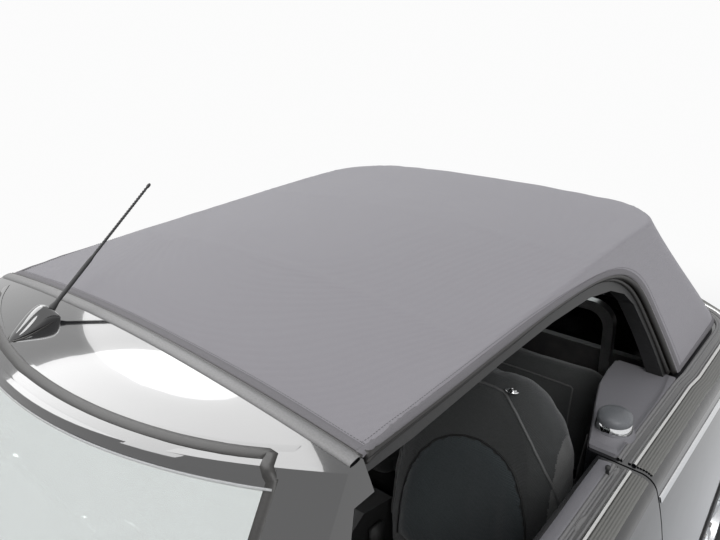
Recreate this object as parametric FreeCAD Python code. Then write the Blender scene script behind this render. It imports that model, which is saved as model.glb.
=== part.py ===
import FreeCAD
import Part
import math
import os
from FreeCAD import Vector

# A small four-seat convertible car with its fabric top up, in millimetres.
# X points to the car's left, Y to its tail and Z up; the origin is on the ground
# under the middle of its length.

# Overall sizes
LENGTH = 3723.0
WHEELBASE = 2467.0
FRONT_OVERHANG = 730.5
TRACK = 1460.0
NOSE_Y = -LENGTH / 2
TAIL_Y = LENGTH / 2
FRONT_AXLE_Y = NOSE_Y + FRONT_OVERHANG
REAR_AXLE_Y = FRONT_AXLE_Y + WHEELBASE

# Wheels
TYRE_RADIUS = 310.5
HUB_SHAFT_RADIUS = 30.0
RUNNING_CLEARANCE = 0.05
SPOKES = 10
WHEEL_X = TRACK / 2
WELL_RADIUS = 340.0
KINGPIN_X = WHEEL_X - 25.0
FRONT_WELL_INNER_X = 468.0
REAR_WELL_INNER_X = 600.0

# Shut lines and walls
CABIN_X = 640.0
GAP = 5.0
SEAT_GAP = 0.3
SKIN = 30.0
DOOR_THICK_X = 668.0
SILL_TOP_Z = 335.0

# Doors, seen from the side
DOOR_FRONT_Y = -598.0
DOOR_REAR_Y = 585.0
WING_REAR_Y = -606.0

# Bonnet shut line, seen from the side: lamps and grille stay above it
SHUT_LINE = [(-1640.0, 575.0), (-1475.0, 745.0), (-640.0, 768.0)]
COWL_Y_MID = -800.0
COWL_Y_SIDE = -655.0

# Soft top
TOP_FRONT_Y = -100.0
FABRIC = 22.0
RAIL_WIDTH = 42.0

os.makedirs("parts", exist_ok=True)


def box(x0, x1, y0, y1, z0, z1):
    return Part.makeBox(x1 - x0, y1 - y0, z1 - z0, Vector(x0, y0, z0))


def cyl(x, y, z, axis, radius, length):
    return Part.makeCylinder(radius, length, Vector(x, y, z), Vector(*axis))


def mirror(shape):
    return shape.mirror(Vector(0, 0, 0), Vector(1, 0, 0))


def both(shape):
    return Part.makeCompound([shape, mirror(shape)])


def rounded(points, radii):
    """Closed wire through corner points, each corner an arc tangent to its two lines."""
    corners = []
    for i, corner in enumerate(points):
        before = (points[i - 1] - corner).normalize()
        after = (points[(i + 1) % len(points)] - corner).normalize()
        half = before.getAngle(after) / 2
        reach = radii[i] / math.tan(half)
        middle = (before + after).normalize()
        centre = corner + middle * (radii[i] / math.sin(half))
        corners.append((corner + before * reach, centre - middle * radii[i], corner + after * reach))
    edges = []
    for i, (start, mid, end) in enumerate(corners):
        edges.append(Part.Arc(start, mid, end).toShape())
        edges.append(Part.LineSegment(end, corners[(i + 1) % len(corners)][0]).toShape())
    return Part.Wire(edges)


def prism(points, plane, start, end, radius=0.0):
    """Solid from an outline: plane "yz" runs along X, "xz" along Y and "xy" along Z."""
    place = {"yz": lambda a, b: Vector(start, a, b),
             "xz": lambda a, b: Vector(a, start, b),
             "xy": lambda a, b: Vector(a, b, start)}[plane]
    run = {"yz": Vector(end - start, 0, 0),
           "xz": Vector(0, end - start, 0),
           "xy": Vector(0, 0, end - start)}[plane]
    corners = [place(a, b) for a, b in points]
    if radius > 0:
        wire = rounded(corners, [radius] * len(corners))
    else:
        wire = Part.makePolygon(corners + corners[:1])
    return Part.Face(wire).extrude(run)


def strip(points, thick):
    """Outline of a bent sheet that follows the points, mitred at its bends."""
    sides = ([], [])
    for i, (a, b) in enumerate(points):
        here = Vector(a, b, 0)
        dirs = []
        if i > 0:
            dirs.append((here - Vector(points[i - 1][0], points[i - 1][1], 0)).normalize())
        if i < len(points) - 1:
            dirs.append((Vector(points[i + 1][0], points[i + 1][1], 0) - here).normalize())
        along = dirs[0] + dirs[-1]
        along.normalize()
        normal = Vector(-along.y, along.x, 0)
        reach = thick / 2 / max(0.3, along.dot(dirs[0]))
        sides[0].append((a + normal.x * reach, b + normal.y * reach))
        sides[1].append((a - normal.x * reach, b - normal.y * reach))
    return sides[0] + sides[1][::-1]


def fuse(shapes):
    return shapes[0].fuse(shapes[1:]).removeSplitter() if len(shapes) > 1 else shapes[0]


def export(name, *shapes):
    solids = [s for shape in shapes for s in shape.Solids]
    solids = [s for s in solids if s.Volume > 1.0]
    if not solids:
        raise ValueError(name + " has no solid")
    whole = solids[0] if len(solids) == 1 else Part.makeCompound(solids)
    whole.exportStep("parts/" + name + ".step")
    print(name, len(solids), len(whole.Faces), round(whole.Volume / 1e6, 1), whole.isValid())


# Body surface, as level outlines from the sill up
BODY_LEVELS = [
    # level z, nose y, nose corner x, front corner y, half width, rear corner y, tail flat x, tail y
    (165.0, -1775.0, 520.0, -1330.0, 772.0, 1500.0, 430.0, 1775.0),
    (330.0, -1850.0, 540.0, -1330.0, 814.0, 1500.0, 440.0, 1850.0),
    (500.0, NOSE_Y, 550.0, -1330.0, 836.0, 1500.0, 450.0, TAIL_Y),
    (680.0, -1843.0, 545.0, -1330.0, 840.0, 1500.0, 450.0, 1853.0),
    (830.0, -1785.0, 530.0, -1320.0, 827.0, 1485.0, 440.0, 1815.0),
    (1010.0, -1680.0, 500.0, -1300.0, 776.0, 1450.0, 430.0, 1750.0),
]
FRONT_ROUND = 380.0
SIDE_ROUND = 620.0
NOSE_BOW = 46.0
NOSE_ROUND = 2600.0
REAR_ROUND = 330.0
DIAGONAL_SHARE = 0.42


def body_levels(inset=0.0):
    """The body's side surface as a closed solid, drawn in by inset."""
    wires = []
    for z, nose, nose_x, front_y, half, rear_y, tail_x, tail in BODY_LEVELS:
        nx, tx = nose_x - DIAGONAL_SHARE * inset, tail_x - DIAGONAL_SHARE * inset
        peak = NOSE_ROUND * (math.hypot(NOSE_BOW, nx) / nx - 1)
        w, n, t = half - inset, nose + inset - peak, tail - inset
        right = [Vector(nx, n + NOSE_BOW, z), Vector(w, front_y, z), Vector(w, rear_y, z), Vector(tx, t, z)]
        left = [Vector(-p.x, p.y, p.z) for p in right[::-1]]
        radii = [FRONT_ROUND, SIDE_ROUND, REAR_ROUND, REAR_ROUND]
        wires.append(rounded([Vector(0, n, z)] + right + left, [NOSE_ROUND] + radii + radii[::-1]))
    return Part.makeLoft(wires, True, False)


def crowned(stations, span, half=950.0, floor=100.0, lower=0.0):
    """Everything under a crowned surface: stations give y, height on the middle and at span."""
    wires = []
    for y, mid, side in stations:
        drop = mid - side
        bend = (span * span + drop * drop) / (2 * drop)
        edge = mid - (bend - math.sqrt(bend * bend - half * half)) - lower
        top = Part.Arc(Vector(half, y, edge), Vector(0, y, mid - lower), Vector(-half, y, edge))
        corners = [Vector(-half, y, edge), Vector(-half, y, floor), Vector(half, y, floor),
                   Vector(half, y, edge)]
        edges = [Part.LineSegment(a, b).toShape() for a, b in zip(corners, corners[1:])]
        wires.append(Part.Wire(edges + [top.toShape()]))
    return Part.makeLoft(wires, True, False)


def round_top(solid, radius, skip_y):
    """Rounds the edge between a crowned top and the side walls, except at the planes skip_y."""
    top = max(solid.Faces, key=lambda f: f.Area if f.CenterOfMass.z > 0.5 * solid.BoundBox.ZMax else 0)
    edges = [e for e in top.Edges if all(abs(e.CenterOfMass.y - y) > 1.0 for y in skip_y)]
    return solid.makeFillet(radius, edges)


# Bonnet surface and belt surface
BONNET_STATIONS = [
    # y, height on the middle, height at 700 out
    (-1900.0, 640.0, 590.0),
    (-1800.0, 762.0, 690.0),
    (-1600.0, 832.0, 762.0),
    (-1300.0, 886.0, 815.0),
    (-1000.0, 926.0, 862.0),
    (-600.0, 962.0, 905.0),
]
BELT_STATIONS = [
    (-720.0, 951.0, 898.0),
    (-600.0, 962.0, 914.0),
    (-400.0, 971.0, 944.0),
    (-100.0, 979.0, 963.0),
    (500.0, 986.0, 974.0),
    (1100.0, 992.0, 980.0),
    (1500.0, 992.0, 980.0),
    (1700.0, 978.0, 962.0),
    (1900.0, 925.0, 905.0),
]
CROWN_SPAN = 700.0
BONNET_ROUND = 85.0
BELT_ROUND = 42.0


def bonnet_form(inset=0.0):
    form = body_levels(inset).common(crowned(BONNET_STATIONS, CROWN_SPAN, lower=inset))
    return round_top(form, BONNET_ROUND - inset, [BONNET_STATIONS[-1][0]])


def belt_form():
    form = body_levels().common(crowned(BELT_STATIONS, CROWN_SPAN))
    return round_top(form, BELT_ROUND, [BELT_STATIONS[0][0]])


# Soft top surface
TOP_LEVELS = [
    # level z, half width, rear corner y, tail flat x, tail y
    (930.0, 722.0, 1490.0, 590.0, 1578.0),
    (1100.0, 664.0, 1350.0, 540.0, 1450.0),
    (1290.0, 591.0, 1190.0, 480.0, 1303.0),
    (1440.0, 546.0, 1080.0, 440.0, 1190.0),
]
TOP_STATIONS = [
    # y, height on the middle, height at the rail
    (-850.0, 1226.0, 1192.0),
    (-420.0, 1318.0, 1284.0),
    (-100.0, 1381.0, 1347.0),
    (150.0, 1403.0, 1359.0),
    (400.0, 1413.5, 1365.0),
    (700.0, 1413.0, 1370.0),
    (1000.0, 1404.0, 1372.0),
    (1200.0, 1391.0, 1364.0),
    (1700.0, 1340.0, 1308.0),
]
RAIL_SPAN = 575.0
TOP_ROUND = 48.0
TOP_REAR_ROUND = 150.0


def top_levels(inset=0.0):
    wires = []
    for z, half, rear_y, tail_x, tail in TOP_LEVELS:
        w, t = half - inset, tail - inset
        tx, rear_y = tail_x - DIAGONAL_SHARE * inset, rear_y - DIAGONAL_SHARE * inset
        z -= inset if z < 1000 else 0.0
        right = [Vector(w, -700, z), Vector(w, rear_y, z), Vector(tx, t, z)]
        left = [Vector(-p.x, p.y, p.z) for p in right[::-1]]
        radii = [40.0, TOP_REAR_ROUND - inset, TOP_REAR_ROUND - inset]
        wires.append(rounded(right + left, radii + radii[::-1]))
    return Part.makeLoft(wires, True, False)


def top_form(inset=0.0):
    """The closed form of the soft top over its whole length, drawn in by inset."""
    under = crowned(TOP_STATIONS, RAIL_SPAN, half=800.0, floor=800.0, lower=inset)
    form = top_levels(inset).common(under)
    front_y = TOP_FRONT_Y - 3.0 * inset
    form = form.common(box(-900, 900, front_y, 1700, 880, 1500))
    return round_top(form, TOP_ROUND - 0.5 * inset, [front_y])


# Windscreen surface, as level outlines
SCREEN_LEVELS = [
    # level z, half width, y at the corner, y on the middle
    (900.0, 752.0, -625.0, -772.0),
    (960.0, 730.0, -562.0, -713.0),
    (1150.0, 656.0, -362.0, -520.0),
    (1345.0, 578.0, -131.0, -322.0),
    (1420.0, 548.0, -43.0, -243.0),
]


def screen_form(inset=0.0):
    """Everything behind the windscreen's outer surface, drawn in by inset."""
    wires = []
    back = 300.0
    for z, half, corner_y, mid_y in SCREEN_LEVELS:
        w, c, m = half - inset, corner_y + inset, mid_y + inset
        points = [Vector(w, back, z), Vector(-w, back, z), Vector(-w, c, z), Vector(w, c, z)]
        front = Part.Arc(points[2], Vector(0, m, z), points[3]).toShape()
        edges = [Part.LineSegment(points[3], points[0]).toShape(),
                 Part.LineSegment(points[0], points[1]).toShape(),
                 Part.LineSegment(points[1], points[2]).toShape(), front]
        wires.append(Part.Wire(edges))
    return Part.makeLoft(wires, True, False)


body = body_levels()
belt = belt_form()
bonnet_outer = bonnet_form()
inner_body = body_levels(SKIN)
wells = []
for axle_y, inner_x in ((FRONT_AXLE_Y, FRONT_WELL_INNER_X), (REAR_AXLE_Y, REAR_WELL_INNER_X)):
    wells.append(both(cyl(inner_x, axle_y, TYRE_RADIUS, (1, 0, 0), WELL_RADIUS, 500)))
wells = Part.makeCompound(wells)


def shut_region(offset, top_z=1300.0):
    """Side outline above the bonnet's shut line, moved up by offset."""
    line = [(y, z + offset) for y, z in SHUT_LINE]
    return [(-1950.0, line[0][1])] + line + [(-600.0, line[-1][1]), (-600.0, top_z), (-1950.0, top_z)]


def cowl_cut(offset):
    """Region behind the bonnet's curved rear edge, moved back by offset."""
    side_y, mid_y = COWL_Y_SIDE + offset, COWL_Y_MID + offset
    arc = Part.Arc(Vector(-900, side_y + 30, 600), Vector(0, mid_y, 600), Vector(900, side_y + 30, 600))
    rest = Part.makePolygon([Vector(900, side_y + 30, 600), Vector(900, 0, 600), Vector(-900, 0, 600),
                             Vector(-900, side_y + 30, 600)])
    return Part.Face(Part.Wire([arc.toShape()] + rest.Edges)).extrude(Vector(0, 0, 700))


# Bonnet: a clamshell that carries the headlamps and the upper grille
LAMP_X, LAMP_Y, LAMP_Z = 592.0, -1690.0, 722.0
LAMP_RADIUS = 108.0
LAMP_TILT_Z = 0.42
LAMP_OUT_X = 0.22
GRILLE_OUTLINE = [(-425.0, 668.0), (-345.0, 716.0), (345.0, 716.0), (425.0, 668.0), (360.0, 606.0),
                  (-360.0, 606.0)]
lamp_axis = Vector(LAMP_OUT_X, -1.0, LAMP_TILT_Z).normalize()
lamp_centre = Vector(LAMP_X, LAMP_Y, LAMP_Z)
lamp_base = lamp_centre - lamp_axis * 150
lamp_hole = Part.makeCylinder(LAMP_RADIUS, 400, lamp_base, lamp_axis)
bonnet = bonnet_outer.cut(bonnet_form(SKIN))
bonnet = bonnet.common(prism(shut_region(0.0), "yz", -900, 900))
BONNET_PIVOT_Y, BONNET_PIVOT_Z = -650.0, 888.0
BONNET_HINGE_X = 560.0
BONNET_PIN = 5.0
hinge_arm = box(BONNET_HINGE_X - 5, BONNET_HINGE_X + 5, -790, BONNET_PIVOT_Y, 877, 899)
hinge_arm = hinge_arm.fuse(cyl(BONNET_HINGE_X - 5, BONNET_PIVOT_Y, BONNET_PIVOT_Z, (1, 0, 0), 12, 10))
hinge_arm = hinge_arm.cut(cyl(BONNET_HINGE_X - 6, BONNET_PIVOT_Y, BONNET_PIVOT_Z, (1, 0, 0),
                              BONNET_PIN + RUNNING_CLEARANCE, 12))
bonnet = bonnet.cut([cowl_cut(0.0), both(lamp_hole), prism(GRILLE_OUTLINE, "xz", -1950, -1600, 14.0)])
bonnet = fuse([bonnet, hinge_arm, mirror(hinge_arm)])
export("bonnet", bonnet)

lamp_seat = Part.makeCylinder(LAMP_RADIUS - SEAT_GAP, 190, lamp_base, lamp_axis)
bowl = lamp_seat.common(bonnet_form(2.0))
export("headlamps", both(bowl))

GRILLE_MIDDLE_Z = 661.0
ring_outer = prism(GRILLE_OUTLINE, "xz", -1950, -1600, 14.0)
ring_inner = prism([(x * 0.955, GRILLE_MIDDLE_Z + (z - GRILLE_MIDDLE_Z) * 0.74) for x, z in GRILLE_OUTLINE], "xz",
                   -1950, -1600, 12.0)
grille_bars = [box(-440, 440, -1950, -1600, 614.0 + 21.0 * i, 625.0 + 21.0 * i) for i in range(5)]
grille_plan = fuse([ring_outer.cut(ring_inner)] + [bar.common(ring_outer) for bar in grille_bars])
grille_shell = body_levels(4.0).cut(body_levels(20.0))
export("grille", grille_plan.common(grille_shell))

# Front wings: outer skin, wheel house and the pillar that carries the door's hinges
INNER_WING_X = 460.0
WHEEL_HOUSE = 10.0
PILLAR_FRONT_Y = -790.0
WING_DROP = 1.5 * GAP
wing_top = [(y, z - WING_DROP) for y, z in SHUT_LINE]
wing_side = [(WING_REAR_Y, wing_top[-1][1])] + wing_top[::-1][1:-1]
wing_side += [(-1615.0, 593.0), (-1615.0, 560.0), (-1130.0, 560.0), (-1130.0, SILL_TOP_Z + 3.0),
              (WING_REAR_Y, SILL_TOP_Z + 3.0)]
wing_hollow = inner_body.common(box(FRONT_WELL_INNER_X, 900, -1700, PILLAR_FRONT_Y, 345, 800))
wing_hollow = wing_hollow.cut(cyl(400, FRONT_AXLE_Y, TYRE_RADIUS, (1, 0, 0), WELL_RADIUS + WHEEL_HOUSE, 600))
lamp_room = Part.makeCylinder(LAMP_RADIUS + GAP, 400, lamp_base - lamp_axis * 60, lamp_axis)
wing = body.common(prism(wing_side, "yz", INNER_WING_X, 900))
wing = wing.cut([wells, wing_hollow, box(400, CABIN_X + SEAT_GAP, PILLAR_FRONT_Y, -600, 300, 800), lamp_room])
export("wing_left", wing)
export("wing_right", mirror(wing))

# Front bumper skin with the lower intake
bumper_side = [(-1900.0, 165.0), (-1380.0, 165.0), (-1380.0, 557.0), (-1626.0, 557.0), (-1645.0, 570.0),
               (-1900.0, 570.0)]
INTAKE_OUTLINE = [(-520.0, 432.0), (-480.0, 470.0), (480.0, 470.0), (520.0, 432.0), (440.0, 300.0),
                  (-440.0, 300.0)]
FOG_X, FOG_Z, FOG_RADIUS = 610.0, 390.0, 52.0
fog_hole = cyl(FOG_X, -1950, FOG_Z, (0, 1, 0), FOG_RADIUS, 500)
front_bumper = body.cut(inner_body).common(prism(bumper_side, "yz", -900, 900))
front_bumper = front_bumper.cut([wells, prism(INTAKE_OUTLINE, "xz", -1950, -1600, 18.0), both(fog_hole)])
export("front_bumper", front_bumper)

intake_outline = prism(INTAKE_OUTLINE, "xz", -1950, -1600, 18.0)
INTAKE_MIDDLE_Z = 385.0
intake_plan = prism([(x * 1.06, INTAKE_MIDDLE_Z + (z - INTAKE_MIDDLE_Z) * 1.2) for x, z in INTAKE_OUTLINE], "xz",
                    -1950, -1600, 18.0).cut(intake_outline)
intake_bars = [box(-540, 540, -1950, -1600, z, z + 9.0) for z in (322.0, 356.0, 390.0, 424.0)]
intake_bars += [box(x - 6, x + 6, -1950, -1600, 295, 475) for x in (-330.0, 0.0, 330.0)]
intake_plan = fuse([intake_plan] + [bar.common(intake_outline) for bar in intake_bars])
intake_shell = inner_body.cut(body_levels(SKIN + 14.0))
export("intake_grille", intake_plan.common(intake_shell))

# Rear bumper skin, tail panel and quarter panels
REAR_BUMPER_TOP = 542.0
rear_side = [(1500.0, 165.0), (1900.0, 165.0), (1900.0, REAR_BUMPER_TOP), (1500.0, REAR_BUMPER_TOP)]
EXHAUST_Z = 262.0
rear_bumper = body.cut(inner_body).common(prism(rear_side, "yz", -900, 900))
rear_bumper = rear_bumper.cut([wells, both(cyl(75.0, 1700, EXHAUST_Z, (0, 1, 0), 44.0, 300))])
export("rear_bumper", rear_bumper)

LID_HALF = 500.0
LID_BOTTOM = 568.0
LID_TOP_Y = 1712.0
lid_outline = [(-LID_HALF, LID_BOTTOM), (LID_HALF, LID_BOTTOM), (LID_HALF, 1100.0), (-LID_HALF, 1100.0)]
LID_PIVOT_Y, LID_PIVOT_Z = 1853.0, 556.0
HINGE_BARREL, HINGE_PIN = 8.0, 4.0
LID_SILL_Z = LID_PIVOT_Z - 2.0
lid_hole = [(-LID_HALF - GAP, LID_SILL_Z), (LID_HALF + GAP, LID_SILL_Z), (LID_HALF + GAP, 1100.0),
            (-LID_HALF - GAP, 1100.0)]


def lid_barrel(x0, x1, radius):
    return cyl(x0, LID_PIVOT_Y, LID_PIVOT_Z, (1, 0, 0), radius, x1 - x0)


lid = belt.common(prism(lid_outline, "xz", LID_TOP_Y, 1950, 45.0))
lid = lid.cut(body_levels(55.0).common(box(-440, 440, 1600, 1950, 600, 925)))
lid_lugs = []
for x in (-300.0, 300.0):
    for side_x in (-29.0, 15.3):
        lug = box(x + side_x, x + side_x + 13.7, LID_PIVOT_Y - HINGE_BARREL, LID_PIVOT_Y, LID_PIVOT_Z, LID_BOTTOM + 6)
        lid_lugs += [lug, lid_barrel(x + side_x, x + side_x + 13.7, HINGE_BARREL)]
    lid_lugs.append(lid_barrel(x - 29, x + 29, HINGE_PIN))
lid = fuse([lid] + lid_lugs)
lid_cut = prism(lid_hole, "xz", LID_TOP_Y - GAP, 1950, 45.0)
export("boot_lid", lid)

door_points = [(DOOR_FRONT_Y, SILL_TOP_Z + GAP), (475.0, SILL_TOP_Z + GAP), (DOOR_REAR_Y, 520.0),
               (DOOR_REAR_Y, 1100.0), (DOOR_FRONT_Y, 1100.0)]
opening_points = [(WING_REAR_Y, SILL_TOP_Z), (478.0, SILL_TOP_Z), (DOOR_REAR_Y + GAP, 518.0),
                  (DOOR_REAR_Y + GAP, 1110.0), (WING_REAR_Y, 1110.0)]
door = belt.common(prism(door_points, "yz", DOOR_THICK_X, 900, 30.0))
door = door.cut([box(DOOR_THICK_X, 722, DOOR_FRONT_Y + 60, DOOR_REAR_Y - 60, 380, 800),
                 box(716, 726, DOOR_FRONT_Y + 90, DOOR_REAR_Y - 10, 700, 1100)])
mirror_foot = prism([(762.0, 925.0), (826.0, 905.0), (862.0, 1010.0), (826.0, 1030.0)], "xz", -520, -470)
mirror_head = prism([(806.0, 992.0), (952.0, 1000.0), (956.0, 1090.0), (838.0, 1108.0)], "xz", -520, -420, 30.0)
handle_bar = prism([(395.0, 792.0), (535.0, 792.0), (535.0, 822.0), (395.0, 822.0)], "yz", 800, 900, 13.0)
handle_bar = handle_bar.common(body_levels(-12.0)).cut(body_levels(-3.0))
handle_posts = box(815, 836, 398, 416, 796, 818).fuse(box(815, 836, 514, 532, 796, 818))
hand_space = Part.makeSphere(90, Vector(888, 465, 806)).common(box(800, 900, 420, 510, 770, 840))
door = fuse([door.cut(hand_space), mirror_foot, mirror_head, handle_bar, handle_posts])
export("door_left", door)
export("door_right", mirror(door))

# Body sides: sill, rear quarter and tail corner in one pressing
side = belt.common(box(CABIN_X, 900, WING_REAR_Y, 1900, 165, 1100))
side = side.cut([prism(opening_points, "yz", 500, 900, 34.0), wells,
                 prism(rear_side, "yz", 500, 900), lid_cut,
                 box(500, DOOR_THICK_X, 640, 1120, 560, 1100)])
lip = box(DOOR_THICK_X - 8.0, DOOR_THICK_X - SEAT_GAP, -480, 440, SILL_TOP_Z - 10, SILL_TOP_Z + 36)
side = fuse([side, lip])
export("side_left", side)
export("side_right", mirror(side))

tail = belt.common(box(-CABIN_X, CABIN_X, 1600, 1900, REAR_BUMPER_TOP, 1100)).cut(body_levels(60.0))
tail_top = belt.common(box(-CABIN_X, CABIN_X, 1400, 1900, 930, 1100))
tail_cut = box(-CABIN_X + 30, CABIN_X - 30, 1300, LID_TOP_Y - 20, 500, 950)
tail = fuse([tail, tail_top.cut(tail_cut)]).cut(lid_cut)
for x in (-300.0, 300.0):
    tail = tail.cut(box(x - 36, x + 36, 1790, 1900, 500, 600))
    bracket = box(x - 15, x + 15, 1760, LID_PIVOT_Y, LID_PIVOT_Z - 7, LID_PIVOT_Z + 3)
    bracket = fuse([bracket, lid_barrel(x - 15, x + 15, HINGE_BARREL),
                    box(x - 60, x + 60, 1760, 1800, REAR_BUMPER_TOP + 0.5, LID_PIVOT_Z - 2)])
    tail = fuse([tail, bracket.cut(lid_barrel(x - 16, x + 16, HINGE_PIN + RUNNING_CLEARANCE))])
export("tail_panel", tail)

# Scuttle: the closed box ahead of the cabin, up to the windscreen's foot
SCUTTLE_BACK_Y = WING_REAR_Y
scuttle = bonnet_outer.common(cowl_cut(GAP)).common(box(-900, 900, -900, SCUTTLE_BACK_Y, 768, 1100))
scuttle = scuttle.cut(box(-600, 600, -900, SCUTTLE_BACK_Y - 26, 700, 900))
FLOOR_TOP_EDGE_Z = 435.0
firewall = box(-CABIN_X + SEAT_GAP, CABIN_X - SEAT_GAP, -676, SCUTTLE_BACK_Y, FLOOR_TOP_EDGE_Z + SEAT_GAP, 900)
firewall = firewall.cut([box(-600, 600, -700, SCUTTLE_BACK_Y - 26, 445, 900), wells])
hinge_slot = box(BONNET_HINGE_X - 11, BONNET_HINGE_X + 11, -900, SCUTTLE_BACK_Y - 26, 850, 1000)
hinge_ears = box(BONNET_HINGE_X - 20, BONNET_HINGE_X + 20, BONNET_PIVOT_Y - 15, SCUTTLE_BACK_Y - 26,
                 BONNET_PIVOT_Z - 15, 900)
hinge_pin = cyl(BONNET_HINGE_X - 20, BONNET_PIVOT_Y, BONNET_PIVOT_Z, (1, 0, 0), BONNET_PIN, 40)
scuttle = fuse([scuttle, firewall, both(hinge_ears).Solids[0], both(hinge_ears).Solids[1]])
scuttle = scuttle.cut(both(hinge_slot)).fuse([hinge_pin, mirror(hinge_pin)])
export("scuttle", scuttle)

# Floor pan with its tunnel, rear seat step, boot floor and bulkheads
FLOOR_LINE = [(-640.0, 430.0), (-560.0, 205.0), (640.0, 205.0), (700.0, 345.0), (1130.0, 365.0), (1180.0, 400.0),
              (1880.0, 400.0)]
FLOOR_THICK = 30.0
floor = prism(strip(FLOOR_LINE, FLOOR_THICK), "yz", -CABIN_X + SEAT_GAP, CABIN_X - SEAT_GAP)
tunnel = box(-130, 130, -600, 660, 200, 345).cut(box(-110, 110, -700, 700, 180, 325))
bulkhead = box(-CABIN_X + SEAT_GAP, CABIN_X - SEAT_GAP, 1150, 1175, 385, 925)
floor = fuse([floor, tunnel, bulkhead]).common(body_levels(SKIN + SEAT_GAP))
floor = floor.cut([wells, box(-109, 109, -700, 650, 150, 300)])
export("floor_pan", floor)

# Front frame: two rails, a cross beam, spring towers and the lower arms
ARM_Z = 196.0
ARM_THICK = 26.0
KINGPIN_RADIUS = 9.0
RAIL_OUT_X = INNER_WING_X - SEAT_GAP
rail = box(405, RAIL_OUT_X, -1690, -620, 430, 520)
tower = box(425, RAIL_OUT_X, -1180, -1082, 500, 735)
arm = prism([(430.0, -1175.0), (690.0, -1162.0), (728.0, -1131.0), (690.0, -1100.0), (430.0, -1020.0)], "xy",
            ARM_Z, ARM_Z + ARM_THICK, 12.0)
arm = arm.cut(cyl(KINGPIN_X, FRONT_AXLE_Y, ARM_Z - 5, (0, 0, 1), KINGPIN_RADIUS + RUNNING_CLEARANCE, 40))
leg = box(405, RAIL_OUT_X, -1200, -1000, ARM_Z, 470)
beam = box(-RAIL_OUT_X, RAIL_OUT_X, -1690, -1640, 430, 520)
cross = box(-430, 430, -1190, -1040, ARM_Z, ARM_Z + 40.0)
front_frame = fuse([both(s).Solids[i] for s in (rail, tower, arm, leg) for i in (0, 1)] + [beam, cross])
front_frame = front_frame.cut([floor, scuttle])
export("front_frame", front_frame)

ENGINE = (-330.0, 300.0, -1560.0, -1010.0, ARM_Z + 40.0 + SEAT_GAP, 700.0)
engine = box(*ENGINE).cut(front_frame)
export("engine_block", engine)

# Steered knuckles with stub shafts, and the wheels that turn on them
SHAFT_END_X = WHEEL_X + 48.0


def stub(x0, y, inner_x):
    return cyl(inner_x, y, TYRE_RADIUS, (1, 0, 0), HUB_SHAFT_RADIUS - RUNNING_CLEARANCE, x0 - inner_x)


ARM_TOP_Z = ARM_Z + ARM_THICK
upright = box(682, 722, FRONT_AXLE_Y - 36, FRONT_AXLE_Y + 36, ARM_TOP_Z + GAP, TYRE_RADIUS + 110)
kingpin = cyl(KINGPIN_X, FRONT_AXLE_Y, ARM_Z, (0, 0, 1), KINGPIN_RADIUS, 60)
caliper = box(690, 742, FRONT_AXLE_Y + 74, FRONT_AXLE_Y + 152, TYRE_RADIUS - 60, TYRE_RADIUS + 60)
caliper = caliper.cut(box(728.5, 760, FRONT_AXLE_Y, FRONT_AXLE_Y + 136, 200, 400))
knuckle = fuse([upright, stub(SHAFT_END_X, FRONT_AXLE_Y, 690.0), kingpin, caliper,
                box(684, 700, FRONT_AXLE_Y, FRONT_AXLE_Y + 90, TYRE_RADIUS - 30, TYRE_RADIUS + 30)])
export("knuckle_left", knuckle)
export("knuckle_right", mirror(knuckle))

RIM_PROFILE = [
    # radius, distance outward from the wheel's middle
    (203.0, -82.5), (217.0, -82.5), (217.0, -74.0), (203.0, -66.0), (190.0, -20.0), (190.0, 20.0),
    (203.0, 66.0), (217.0, 74.0), (217.0, 82.5), (196.0, 82.5), (180.0, 40.0), (178.0, -20.0), (192.0, -74.0),
]
TYRE_PROFILE = [
    (203.3, -65.7), (217.3, -73.7), (217.3, -84.0), (262.0, -97.5), (292.0, -92.0), (307.0, -76.0),
    (310.5, -40.0), (310.5, 40.0), (307.0, 76.0), (292.0, 92.0), (262.0, 97.5), (217.3, 84.0),
    (217.3, 73.7), (203.3, 65.7), (203.3, 40.0), (203.3, -40.0),
]
FACE_X = 46.0


def revolved(profile, y):
    points = [Vector(WHEEL_X + out, y + r, TYRE_RADIUS) for r, out in profile]
    face = Part.Face(Part.makePolygon(points + points[:1]))
    return face.revolve(Vector(WHEEL_X, y, TYRE_RADIUS), Vector(1, 0, 0), 360)


def rim(y):
    spokes = []
    for i in range(SPOKES):
        spoke = prism([(y - 11, TYRE_RADIUS + 40), (y + 11, TYRE_RADIUS + 40), (y + 17, TYRE_RADIUS + 184),
                       (y - 17, TYRE_RADIUS + 184)], "yz", WHEEL_X + FACE_X, WHEEL_X + FACE_X + 24)
        spoke.rotate(Vector(WHEEL_X, y, TYRE_RADIUS), Vector(1, 0, 0), 360 * i / SPOKES)
        spokes.append(spoke)
    hub = cyl(WHEEL_X + 3, y, TYRE_RADIUS, (1, 0, 0), 62, FACE_X + 21)
    disc = cyl(WHEEL_X + 3, y, TYRE_RADIUS, (1, 0, 0), 132, 20)
    bore = cyl(WHEEL_X - 60, y, TYRE_RADIUS, (1, 0, 0), HUB_SHAFT_RADIUS, 60 + 48 + 2)
    return fuse([revolved(RIM_PROFILE, y), hub, disc] + spokes).cut(bore)


for end, axle_y in (("front", FRONT_AXLE_Y), ("rear", REAR_AXLE_Y)):
    wheel_rim = rim(axle_y)
    tyre = revolved(TYRE_PROFILE, axle_y)
    export("rim_" + end + "_left", wheel_rim)
    export("rim_" + end + "_right", mirror(wheel_rim))
    export("tyre_" + end + "_left", tyre)
    export("tyre_" + end + "_right", mirror(tyre))

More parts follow.
